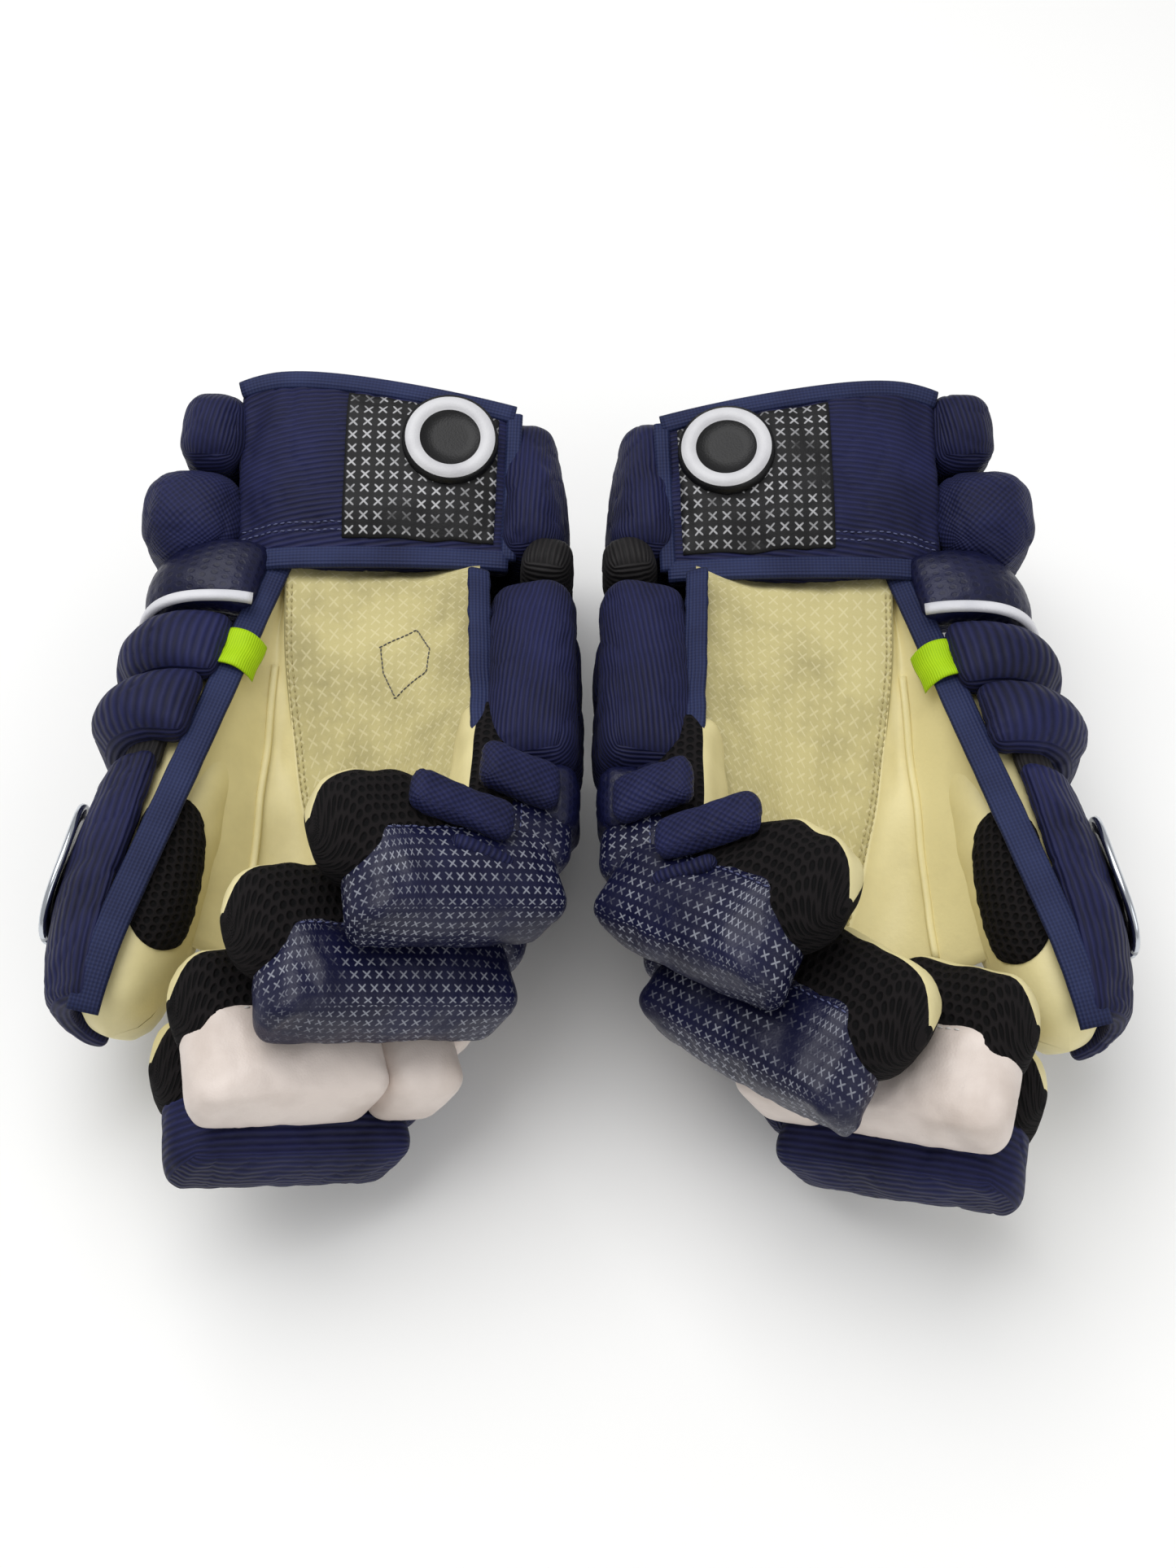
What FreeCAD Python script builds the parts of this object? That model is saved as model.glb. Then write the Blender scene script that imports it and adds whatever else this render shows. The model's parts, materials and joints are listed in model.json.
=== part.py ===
"""A pair of padded ice hockey gloves, lying on their backs with the palms up and the fingers curled.

Units are millimetres and degrees. Both gloves come from one description, drawn as a right hand.
The left hand is that description mirrored, with its own finger bends.

Row frame: +Z is up, +Y runs from the fingers to the cuffs, +X runs from the right glove to the left one.
The origin is the middle of the pair's footprint, on the surface that it lies on.

A glove has seven chains of moving pieces: the cuff, the thumb and the four fingers, each on the hand.
Frames are (e, a, n): e points to the fingertips, a to the little finger, n out of the palm.
"""

import FreeCAD, Part
import math
import os
from FreeCAD import Vector

# The pair
PAIR_GAP = 4.5  # clear space between the two gloves at their nearest points
PAIR_STAGGER = -5.0  # how far the left glove lies out of line with the right one, along y
WRIST_Y = 62.0  # where the hand shell ends and the cuff starts

# Hand shell: a twisted tube of panels from the wrist to the finger roots
WRIST_X, WRIST_Z = -60.0, 54.0
WRIST_HALF_WIDTH = 39.0
ROOT_HALF_WIDTH = 58.0
ROOT_FLATTEN = 0.25  # share of its depth that the shell loses by the finger roots
ROOT_ROLL = 50.0  # how far the knuckle line is turned up on the little-finger side
ROOT_YAW = 14.0  # how far the hand bends to the little-finger side
HAND_STATIONS = 4
PALM_DEPTH = 17.0  # from the tube's middle to the palm's inner face
PALM_THICK = 3.0
BACK_DEPTH = 17.0  # from the tube's middle to the rolls' inner face
BACK_ROLL_THICK = 17.0
BACK_ROLL_GAP = 1.2
SIDE_ROLL_THICK = 16.0
SIDE_ROLL_DROP = 26.0  # how far the side roll reaches below the tube's middle
BINDING_WIDTH, BINDING_THICK = 7.0, 3.0
PIECE_GAP = 0.4  # clearance between soft pieces that lie against each other
WEB_GAP = 1.3  # from the hand shell's slanted end to the square end of each web

# Fingers
FINGER_ROLL = 58.0
FINGER_PITCH = 29.5  # centre to centre, along a
FINGER_WIDTH = 27.0
FINGER_GROUP = Vector(-28.0, -49.0, 45.0)  # the middle of the four knuckle hinges
KNUCKLE_STEP_OUT = 13.0  # each knuckle towards the index sits this much further out
KNUCKLE_STEP_ARCH = 2.0  # and this much further to the palm side
STALL_HALF = 10.5  # half the depth of the space that a finger fills
WALL = 1.6
FINGER_PAD = 15.0  # thickness of the padding on a finger's back
HINGE_BACK = 5.0  # how far the middle hinge lies behind the finger's middle
HINGE_RADIUS = 9.0  # of the knuckle hinges
MIDDLE_RADIUS = 5.0  # of the middle hinges, kept clear of both pads
MIN_MIDDLE_BEND = 22.0  # a finger's middle joint opens no further than this
ROOT_START = -11.0  # where the hand shell ends, before the knuckles
KNUCKLE_PAD_START = 5.0

# name, knuckle to middle joint, middle joint to tip
FINGERS = [
    ("index", 48.0, 64.0),
    ("middle", 50.0, 73.0),
    ("ring", 48.0, 73.0),
    ("little", 42.0, 60.0),
]
# Bend of each finger's two segments from the straight line of the hand
BENDS = {
    "right": [(32.0, 90.0), (26.0, 88.0), (20.0, 88.0), (18.0, 86.0)],
    "left": [(38.0, 84.0), (36.0, 82.0), (16.0, 64.0), (14.0, 67.0)],
}
# Hinge ranges in degrees from the pose that the gloves lie in; all of them closed at once still clears
KNUCKLE_RANGE = (-6.0, 6.0)
MIDDLE_CLOSES = [4.0, 3.0, 8.0, 8.0]
THUMB_ROOT_RANGE = (-8.0, 6.0)
THUMB_MIDDLE_RANGE = (-4.0, 10.0)

# Thumb: along it from its root hinge, y inwards to the palm, z up
THUMB_ROOT = Vector(-119.0, 44.0, 48.0)
THUMB_YAW = -5.5  # degrees that the thumb points away from the hand's middle
THUMB_MIDDLE = 58.0
THUMB_LENGTH = 142.0
THUMB_BACK = 23.0
THUMB_PAD = 15.0
THUMB_INNER = 13.0
THUMB_HALF_HEIGHT = 26.0
THUMB_WALL = 2.0
THUMB_EAR_RADIUS = 9.0
THUMB_TIP_TAPER = 0.55

# Cuff, along X from its middle, along Y from the wrist
CUFF_X = -64.0
CUFF_CLEAR = 8.0  # room that lets the cuff bend on the wrist
CUFF_LENGTH = 68.0
CUFF_THUMB_EDGE, CUFF_LITTLE_EDGE = -44.0, 56.0
CUFF_PANEL_THICK = 14.0
CUFF_PANEL_WRIST_Z, CUFF_PANEL_MOUTH_Z = 68.0, 92.0
CUFF_SIDE_THICK = 24.0
CUFF_THUMB_SIDE_THICK = 32.0
CUFF_BACK_Z, CUFF_BACK_THICK = -12.4, 19.0
CUFF_SIDE_FOOT = 4.0
PATCH_WIDTH, PATCH_THICK = 54.0, 1.6
WRIST_EAR_RADIUS = 10.0
WRIST_EAR_THICK = 2.4
INSERT_THICK = 1.5  # polyethylene plates inside the padding
INSERT_INSET = 5.0


def matrix(origin, e, a, n):
    """The placement that carries x, y, z to e, a, n at origin."""
    return FreeCAD.Matrix(
        e.x, a.x, n.x, origin.x,
        e.y, a.y, n.y, origin.y,
        e.z, a.z, n.z, origin.z,
        0, 0, 0, 1,
    )  # fmt: skip


def placed(shape, m):
    moved = shape.copy()
    moved.Placement = FreeCAD.Placement(m)
    return moved


def hand_axes(yaw, roll):
    """e, a and n of a level hand that is turned by yaw, then rolled about its own length."""
    y, r = math.radians(yaw), math.radians(roll)
    level, up = Vector(math.cos(y), math.sin(y), 0), Vector(0, 0, 1)
    e = Vector(math.sin(y), -math.cos(y), 0)
    return e, level * math.cos(r) + up * math.sin(r), up * math.cos(r) - level * math.sin(r)


def box(x0, x1, y0, y1, z0, z1):
    return Part.makeBox(x1 - x0, y1 - y0, z1 - z0, Vector(x0, y0, z0))


def prism(points, start, end, along="y"):
    """A closed outline of (x, z) points swept along y, or of (x, y) points swept along z."""
    if along == "y":
        ring = [Vector(x, start, z) for x, z in points]
        sweep = Vector(0, end - start, 0)
    else:
        ring = [Vector(x, y, start) for x, y in points]
        sweep = Vector(0, 0, end - start)
    wire = Part.makePolygon([*ring, ring[0]])
    return Part.Face(wire).extrude(sweep)


def arc_points(cx, cy, radius, first, last, steps=8):
    """Points on an arc, angles in degrees."""
    angles = [math.radians(first + (last - first) * i / steps) for i in range(steps + 1)]
    return [(cx + radius * math.cos(t), cy + radius * math.sin(t)) for t in angles]


def with_insert(pad, insert):
    """A pad with a plastic plate sewn inside it: the padding, hollowed for the plate, and the plate."""
    return [pad.cut(insert), insert]


# ---- hand shell ---------------------------------------------------------------------------------


def station(share):
    """Origin, axes and half width of the hand shell, from 0 at the wrist to 1 at the finger roots."""
    e, _, _ = hand_axes(ROOT_YAW, FINGER_ROLL)
    root = FINGER_GROUP + e * ROOT_START
    wrist = Vector(WRIST_X, WRIST_Y, WRIST_Z)
    axes = hand_axes(ROOT_YAW * share, ROOT_ROLL * share)
    half = WRIST_HALF_WIDTH + (ROOT_HALF_WIDTH - WRIST_HALF_WIDTH) * share
    return wrist + (root - wrist) * share, axes, half


def shell_piece(first, last, corners, steps=None):
    """A panel that follows the hand's twist. corners(half) gives its (lateral, depth) outline at a station."""
    steps = steps or HAND_STATIONS
    wires = []
    for i in range(steps):
        share = first + (last - first) * i / (steps - 1)
        origin, (e, a, n), half = station(share)
        across = a - e * (share * KNUCKLE_STEP_OUT / FINGER_PITCH)
        deep = n * (1 - ROOT_FLATTEN * share)
        ring = [origin + across * u + deep * v for u, v in corners(half)]
        wires.append(Part.makePolygon([*ring, ring[0]]))
    return Part.makeLoft(wires, True, True)


def rectangle(u0, u1, v0, v1):
    return [(u0, v0), (u1, v0), (u1, v1), (u0, v1)]


def make_palm():
    return [
        shell_piece(0, 1, lambda h: rectangle(-h, h, PALM_DEPTH, PALM_DEPTH + PALM_THICK))
    ]


def make_palm_binding():
    top = PALM_DEPTH + PALM_THICK + PIECE_GAP
    return [
        shell_piece(
            0.02, 0.98, lambda h: rectangle(h - BINDING_WIDTH, h, top, top + BINDING_THICK)
        )
    ]


def back_roll_outline(half):
    """A roll's section across the hand, with its outer corners taken off."""
    inner, outer, corner = -BACK_DEPTH, -BACK_DEPTH - BACK_ROLL_THICK, 7.0
    return [
        (-half, inner),
        (-half, outer + corner),
        (-half + corner, outer),
        (half - corner, outer),
        (half, outer + corner),
        (half, inner),
    ]


def back_insert_outline(half):
    middle = -BACK_DEPTH - BACK_ROLL_THICK / 2
    reach = half - INSERT_INSET - 3
    return rectangle(-reach, reach, middle - INSERT_THICK / 2, middle + INSERT_THICK / 2)


def make_back_rolls():
    """Three rolls across the back of the hand, each with its own plate."""
    length = (station(1)[0] - station(0)[0]).Length
    gap, inset = BACK_ROLL_GAP / length, INSERT_INSET / length
    pieces, count = [], 3
    for i in range(count):
        first, last = i / count + gap / 2, (i + 1) / count - gap / 2
        pad = shell_piece(first, last, back_roll_outline, 2)
        plate = shell_piece(first + inset, last - inset, back_insert_outline, 2)
        pieces += with_insert(pad, plate)
    return pieces


def make_side_roll():
    """The long roll down the little-finger edge of the hand."""

    def outline(half):
        inner, outer, corner = half + PIECE_GAP, half + SIDE_ROLL_THICK, 6.0
        top, low = PALM_DEPTH + PALM_THICK, -SIDE_ROLL_DROP
        return [
            (inner, low),
            (outer - corner, low),
            (outer, low + corner),
            (outer, top - corner),
            (outer - corner, top),
            (inner, top),
        ]

    return [shell_piece(0.02, 0.98, outline)]


# ---- fingers ------------------------------------------------------------------------------------


def knuckle(index):
    """Where finger number index, counted from the index finger, is hinged on the hand."""
    e, a, n = hand_axes(ROOT_YAW, FINGER_ROLL)
    along = index - 1.5
    out, arch = -along * KNUCKLE_STEP_OUT, -along * KNUCKLE_STEP_ARCH
    return FINGER_GROUP + a * (along * FINGER_PITCH) + e * out + n * arch


def segment_axes(bend):
    """A finger segment's own x along it, y to the little finger and z to its palm side."""
    e, a, n = hand_axes(ROOT_YAW, FINGER_ROLL)
    t = math.radians(bend)
    return e * math.cos(t) + n * math.sin(t), a, n * math.cos(t) - e * math.sin(t)


def pad_outline(x0, x1, lean_start, lean_end, corner=5.0):
    """The side view of a finger pad: flat on the finger, leaning ends, and outer corners taken off."""
    inner, outer = -STALL_HALF, -STALL_HALF - FINGER_PAD
    start = x0 + FINGER_PAD * math.tan(math.radians(lean_start))
    end = x1 - FINGER_PAD * math.tan(math.radians(lean_end))
    share = corner / FINGER_PAD
    return [
        (x0, inner),
        (x1, inner),
        (x1 + (end - x1) * (1 - share), outer + corner),
        (end - corner, outer),
        (start + corner, outer),
        (x0 + (start - x0) * (1 - share), outer + corner),
    ]


def finger_pieces(length, reach):
    """A finger's two segments, each in its own axes, as (pads, stall) for the base and for the tip."""
    half, lean = FINGER_WIDTH / 2, MIN_MIDDLE_BEND / 2
    z_hinge = -HINGE_BACK
    middle_drop = (STALL_HALF - HINGE_BACK) * math.tan(math.radians(lean)) + PIECE_GAP

    base_end = length - middle_drop
    base_pad = prism(pad_outline(KNUCKLE_PAD_START, base_end, 12, lean), -half, half)
    base_wall = [
        (length - 6, STALL_HALF - 3),
        *arc_points(0, 0, HINGE_RADIUS, 80, 280),
        (KNUCKLE_PAD_START, -STALL_HALF),
        (length - 4, -STALL_HALF),
        *arc_points(length, z_hinge, MIDDLE_RADIUS, -90, 70),
    ]
    base_stall = [
        prism(base_wall, -half, -half + WALL),
        prism(base_wall, half - WALL, half),
        box(8, length - 22, -half + WALL, half - WALL, STALL_HALF - WALL - 4, STALL_HALF - 4),
    ]

    tip_start = middle_drop
    tip_outline = pad_outline(tip_start, reach, lean, 18, 6.0)
    tip_pad = prism(tip_outline, -half, half)
    inner = half - WALL - PIECE_GAP
    tip_wall = [
        (reach - 4, STALL_HALF),
        *arc_points(0, z_hinge, MIDDLE_RADIUS, 90, 270),
        (4, -STALL_HALF),
        (reach - 4, -STALL_HALF),
    ]
    tip_stall = [
        prism(tip_wall, -inner, -inner + WALL),
        prism(tip_wall, inner - WALL, inner),
        box(20, reach - 4 - WALL, -inner + WALL, inner - WALL, STALL_HALF - WALL, STALL_HALF),
        box(reach - 4 - WALL, reach - 4, -inner + WALL, inner - WALL, -STALL_HALF, STALL_HALF),
    ]
    plate_z = -STALL_HALF - FINGER_PAD * 0.45
    plates = [
        box(x0, x1, -half + INSERT_INSET, half - INSERT_INSET, plate_z, plate_z + INSERT_THICK)
        for x0, x1 in (
            (KNUCKLE_PAD_START + 7, base_end - 7),
            (tip_start + 7, reach - 12),
        )
    ]
    return with_insert(base_pad, plates[0]), base_stall, with_insert(tip_pad, plates[1]), tip_stall


def make_webs():
    """The mesh walls between and beside the fingers, from the hand shell to the knuckle hinges."""
    e, a, n = hand_axes(ROOT_YAW, FINGER_ROLL)
    to_world = matrix(FINGER_GROUP, e, a, n)
    twist = math.tan(math.radians(FINGER_ROLL - ROOT_ROLL))
    thick = FINGER_PITCH - FINGER_WIDTH - 2 * PIECE_GAP
    webs = []
    for i in range(5):
        lateral = (i - 2) * FINGER_PITCH
        middle = -lateral * twist
        nearest = min(max(i - 1, 0), 3)
        along = nearest - 1.5
        out, arch = -along * KNUCKLE_STEP_OUT, -along * KNUCKLE_STEP_ARCH
        start = -(i - 2) * KNUCKLE_STEP_OUT + ROOT_START + WEB_GAP
        root_back, root_palm = middle - BACK_DEPTH, middle + PALM_DEPTH
        outline = [
            (start, root_back),
            (start, root_palm),
            *arc_points(out, arch, HINGE_RADIUS - 1, 60, -60, 6),
        ]
        webs.append(placed(prism(outline, lateral - thick / 2, lateral + thick / 2), to_world))
    return webs


# ---- thumb --------------------------------------------------------------------------------------


def thumb_axes():
    """The thumb's own x along it, y inwards to the palm and z up."""
    t = math.radians(THUMB_YAW)
    along = Vector(math.sin(t), -math.cos(t), 0)
    return along, Vector(math.cos(t), math.sin(t), 0), Vector(0, 0, 1)


def make_thumb():
    """The thumb's base and tip in the thumb's axes: pads, then the walls that they are sewn to."""
    high = THUMB_HALF_HEIGHT
    outer, seat = -THUMB_BACK, -THUMB_BACK + THUMB_PAD
    middle, ear = THUMB_MIDDLE, THUMB_EAR_RADIUS
    base_outline = [
        (2, seat),
        (8, outer - 2),
        (24, outer - 9),
        (44, outer - 9),
        (middle - 4, outer),
        (middle - 1, seat),
    ]
    base_pad = prism(base_outline, -high, high, "z")
    base_plate = box(12, middle - 10, seat - 6, seat - 6 + INSERT_THICK, -high + 6, high - 6)

    top = [
        (middle + ear * 0.6, seat + 2),
        (middle + ear * 0.6, seat + 2 + ear),
        (middle, THUMB_INNER),
        *arc_points(0, 0, ear, 90, 180, 6),
        (-ear * 0.5, seat),
        (middle, seat),
    ]
    base_walls = [
        prism(top, high - THUMB_WALL, high, "z"),
        prism(top, -high, -high + THUMB_WALL, "z"),
        box(
            10, middle - 8,
            THUMB_INNER - THUMB_WALL, THUMB_INNER,
            -high + THUMB_WALL, high - THUMB_WALL,
        ),
    ]  # fmt: skip
    tag = box(22, 37, THUMB_INNER - 14, THUMB_INNER, high + PIECE_GAP, high + PIECE_GAP + 2)

    length, narrow = THUMB_LENGTH, THUMB_TIP_TAPER
    tip_high = high - THUMB_WALL - PIECE_GAP
    casing_outline = [
        (middle + 3, seat),
        (middle + 7, outer + 1),
        (length - 40, outer + 2),
        (length - 14, outer * narrow),
        (length, seat + 3),
        (length, seat + 8),
        (length - 6, seat + 8),
        (length - 12, seat),
    ]
    casing = prism(casing_outline, -tip_high, tip_high, "z")
    casing_plate = box(
        middle + 14, length - 46, seat - 6, seat - 6 + INSERT_THICK, -high + 10, high - 10
    )
    hinge_y = seat + 8
    side = [
        (length - 6 - PIECE_GAP, seat + 8 + PIECE_GAP),
        (length - 10, THUMB_INNER - 3),
        (middle + 12, THUMB_INNER - 1),
        *arc_points(middle, hinge_y, ear - 3, 90, 270, 6),
        (middle + 4, seat),
        (length - 12 - PIECE_GAP, seat),
    ]
    stall = [
        prism(side, tip_high - THUMB_WALL, tip_high, "z"),
        prism(side, -tip_high, -tip_high + THUMB_WALL, "z"),
    ]
    palm_side = [
        (middle + 16, THUMB_INNER - 3),
        (length - 12, THUMB_INNER - 5),
        (length - 12, THUMB_INNER - 5 - THUMB_WALL),
        (middle + 16, THUMB_INNER - 3 - THUMB_WALL),
    ]
    stall.append(prism(palm_side, -tip_high + THUMB_WALL, tip_high - THUMB_WALL, "z"))
    return (
        with_insert(base_pad, base_plate),
        [*base_walls, tag],
        with_insert(casing, casing_plate),
        stall,
        hinge_y,
    )


def make_thumb_ear():
    """The strip of the hand shell that the thumb's base is sewn to."""
    along, inward, up = thumb_axes()
    z = THUMB_HALF_HEIGHT + PIECE_GAP
    reach = 36.0
    outline = [
        (-THUMB_EAR_RADIUS, reach),
        *arc_points(0, 0, THUMB_EAR_RADIUS, 180, 360, 8),
        (THUMB_EAR_RADIUS, reach - 14),
    ]
    ear = prism(outline, z, z + THUMB_WALL, "z")
    return placed(ear, matrix(THUMB_ROOT, along, inward, up))


# ---- cuff ---------------------------------------------------------------------------------------


def cuff_span():
    return WRIST_Y + CUFF_CLEAR, WRIST_Y + CUFF_CLEAR + CUFF_LENGTH


def along_x(points, x0, x1):
    """A closed outline of (y, z) points swept along x."""
    ring = [Vector(x0, y, z) for y, z in points]
    return Part.Face(Part.makePolygon([*ring, ring[0]])).extrude(Vector(x1 - x0, 0, 0))


def panel_lift(y):
    """Height of the cuff's palm panel, which rises from the wrist to the mouth."""
    start, end = cuff_span()
    share = (y - start) / (end - start)
    return CUFF_PANEL_WRIST_Z + (CUFF_PANEL_MOUTH_Z - CUFF_PANEL_WRIST_Z) * share


def make_cuff_panel():
    start, end = cuff_span()
    x0 = CUFF_X + CUFF_THUMB_EDGE + PIECE_GAP
    x1 = CUFF_X + CUFF_LITTLE_EDGE - PIECE_GAP
    low, high = panel_lift(start), panel_lift(end)
    outline = [
        (start, low),
        (end, high),
        (end, high + CUFF_PANEL_THICK - 3),
        (end - 3, high + CUFF_PANEL_THICK),
        (start + 3, low + CUFF_PANEL_THICK),
        (start, low + CUFF_PANEL_THICK - 3),
    ]
    pad = along_x(outline, x0, x1)
    middle = CUFF_PANEL_THICK / 2
    inset = INSERT_INSET + 3
    plate = along_x(
        [
            (start + inset, panel_lift(start + inset) + middle),
            (end - inset, panel_lift(end - inset) + middle),
            (end - inset, panel_lift(end - inset) + middle + INSERT_THICK),
            (start + inset, panel_lift(start + inset) + middle + INSERT_THICK),
        ],
        x0 + inset,
        x1 - inset,
    )
    return with_insert(pad, plate)


def make_cuff_patch():
    """The woven patch sewn on the palm panel."""
    start, end = cuff_span()
    y0, y1 = start + 7, end - 7
    lift = CUFF_PANEL_THICK + PIECE_GAP / 2 + 0.8
    outline = [
        (y0, panel_lift(y0) + lift),
        (y1, panel_lift(y1) + lift),
        (y1, panel_lift(y1) + lift + PATCH_THICK),
        (y0, panel_lift(y0) + lift + PATCH_THICK),
    ]
    x1 = CUFF_X + CUFF_LITTLE_EDGE - 5
    return [along_x(outline, x1 - PATCH_WIDTH, x1)]


def side_block(x0, x1, y0, y1, z0, z1, corner=8.0):
    """An upright roll beside the cuff's mouth, with the corners of its outline taken off."""
    outline = [
        (y0 + corner, z0),
        (y1 - corner, z0),
        (y1, z0 + corner),
        (y1, z1 - corner),
        (y1 - corner, z1),
        (y0 + corner, z1),
        (y0, z1 - corner),
        (y0, z0 + corner),
    ]
    pad = along_x(outline, x0, x1)
    middle = (x0 + x1) / 2
    inset = corner + 2
    plate = box(
        middle - INSERT_THICK / 2, middle + INSERT_THICK / 2,
        y0 + inset, y1 - inset,
        z0 + inset, z1 - inset,
    )  # fmt: skip
    return with_insert(pad, plate)


def make_cuff_thumb_rolls():
    start, end = cuff_span()
    x1 = CUFF_X + CUFF_THUMB_EDGE
    split = start + 38
    near = side_block(x1 - CUFF_THUMB_SIDE_THICK, x1, start, split, CUFF_SIDE_FOOT, 84)
    far = side_block(
        x1 - CUFF_THUMB_SIDE_THICK + 12, x1, split + PIECE_GAP, end + 2, CUFF_SIDE_FOOT + 6, 100, 6.0
    )
    return near + far


def make_cuff_little_roll():
    start, end = cuff_span()
    x0 = CUFF_X + CUFF_LITTLE_EDGE
    return side_block(x0, x0 + CUFF_SIDE_THICK, start, end - 4, CUFF_SIDE_FOOT + 6, 90)


def make_cuff_back():
    """Two rolls across the back of the cuff."""
    start, end = cuff_span()
    x0 = CUFF_X + CUFF_THUMB_EDGE + PIECE_GAP
    x1 = CUFF_X + CUFF_LITTLE_EDGE - PIECE_GAP
    middle = (start + end) / 2
    pieces = []
    for y0, y1 in ((start, middle - 0.4), (middle + 0.4, end)):
        low, high = CUFF_BACK_Z, CUFF_BACK_Z + CUFF_BACK_THICK
        outline = [
            (y0, high),
            (y0, low + 5),
            (y0 + 5, low),
            (y1 - 5, low),
            (y1, low + 5),
            (y1, high),
        ]
        plate_z = (low + high) / 2
        plate = box(x0 + 8, x1 - 8, y0 + 6, y1 - 6, plate_z, plate_z + INSERT_THICK)
        pieces += with_insert(along_x(outline, x0, x1), plate)
    return pieces


def make_wrist_ears():
    """The elastic at each side of the wrist that the cuff bends on."""
    ears = []
    hinge_y = wrist_hinge().y
    start = WRIST_Y - 1
    for x0 in (
        CUFF_X + CUFF_THUMB_EDGE + PIECE_GAP,
        CUFF_X + CUFF_LITTLE_EDGE - PIECE_GAP - WRIST_EAR_THICK,
    ):
        outline = [
            (start, WRIST_Z - WRIST_EAR_RADIUS),
            *arc_points(hinge_y, WRIST_Z, WRIST_EAR_RADIUS, -90, 90, 6),
            (start, WRIST_Z + WRIST_EAR_RADIUS),
        ]
        ears.append(along_x(outline, x0, x0 + WRIST_EAR_THICK))
    return ears


def wrist_hinge():
    return Vector(CUFF_X, WRIST_Y + CUFF_CLEAR + WRIST_EAR_RADIUS + 2, WRIST_Z)


# ---- one glove, then the pair -------------------------------------------------------------------


def glove(side):
    """Nodes {name: solids} of a right-hand glove with this side's bends, its bodies and its joints."""
    nodes, bodies, joints = {}, {}, []

    def add(body, name, solids):
        nodes[f"{side}_{name}"] = solids
        bodies.setdefault(f"{side}_{body}", []).append(f"{side}_{name}")

    def hinge(name, parent, child, at, frm, to, limits, friction):
        """A hinge whose positive turn carries direction frm towards direction to."""
        joints.append(
            {
                "name": f"{side}_{name}", "type": "hinge", "parent": f"{side}_{parent}",
                "child": f"{side}_{child}", "at": at, "from": frm, "to": to,
                "range": limits, "friction": friction,
            }
        )  # fmt: skip

    add("hand", "palm", make_palm())
    add("hand", "palm_binding", make_palm_binding())
    add("hand", "back_rolls", make_back_rolls())
    add("hand", "side_roll", make_side_roll())
    add("hand", "gussets", make_webs() + make_wrist_ears() + [make_thumb_ear()])

    add("cuff", "cuff_panel", make_cuff_panel())
    add("cuff", "cuff_patch", make_cuff_patch())
    add("cuff", "cuff_thumb_rolls", make_cuff_thumb_rolls())
    add("cuff", "cuff_little_roll", make_cuff_little_roll())
    add("cuff", "cuff_back_rolls", make_cuff_back())
    hinge(
        "wrist", "hand", "cuff", wrist_hinge(),
        Vector(0, 1, 0), Vector(0, 0, 1), (-9.0, 9.0), 0.35,
    )  # fmt: skip

    along, inward, up = thumb_axes()
    base_pad, base_walls, casing, stall, hinge_y = make_thumb()
    to_world = matrix(THUMB_ROOT, along, inward, up)
    for body, name, solids in (
        ("thumb_base", "thumb_roll", base_pad),
        ("thumb_base", "thumb_gusset", base_walls),
        ("thumb_tip", "thumb_casing", casing),
        ("thumb_tip", "thumb_stall", stall),
    ):
        add(body, name, [placed(s, to_world) for s in solids])
    middle = THUMB_ROOT + along * THUMB_MIDDLE + inward * hinge_y
    hinge("thumb_root", "hand", "thumb_base", THUMB_ROOT, along, inward, THUMB_ROOT_RANGE, 0.2)
    hinge("thumb_middle", "thumb_base", "thumb_tip", middle, along, inward, THUMB_MIDDLE_RANGE, 0.08)

    for i, (finger, length, reach) in enumerate(FINGERS):
        first, second = BENDS[side][i]
        base_pads, base_stall, tip_pads, tip_stall = finger_pieces(length, reach)
        e1, a1, n1 = segment_axes(first)
        base = matrix(knuckle(i), e1, a1, n1)
        joint_at = knuckle(i) + e1 * length - n1 * HINGE_BACK
        e2, a2, n2 = segment_axes(second)
        tip = matrix(joint_at + n2 * HINGE_BACK, e2, a2, n2)
        add(f"{finger}_base", f"{finger}_base_pad", [placed(s, base) for s in base_pads])
        add(f"{finger}_base", f"{finger}_base_stall", [placed(s, base) for s in base_stall])
        add(f"{finger}_tip", f"{finger}_tip_pad", [placed(s, tip) for s in tip_pads])
        add(f"{finger}_tip", f"{finger}_tip_stall", [placed(s, tip) for s in tip_stall])
        open_by = -(second - first - MIN_MIDDLE_BEND)
        hinge(f"{finger}_knuckle", "hand", f"{finger}_base", knuckle(i), e1, n1, KNUCKLE_RANGE, 0.12)
        hinge(
            f"{finger}_middle", f"{finger}_base", f"{finger}_tip", joint_at,
            e2, n2, (round(open_by, 1), MIDDLE_CLOSES[i]), 0.05,
        )  # fmt: skip
    return nodes, bodies, joints


def bounds(nodes):
    total = FreeCAD.BoundBox()
    for solids in nodes.values():
        for solid in solids:
            total.add(solid.optimalBoundingBox(False))
    return total


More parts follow.
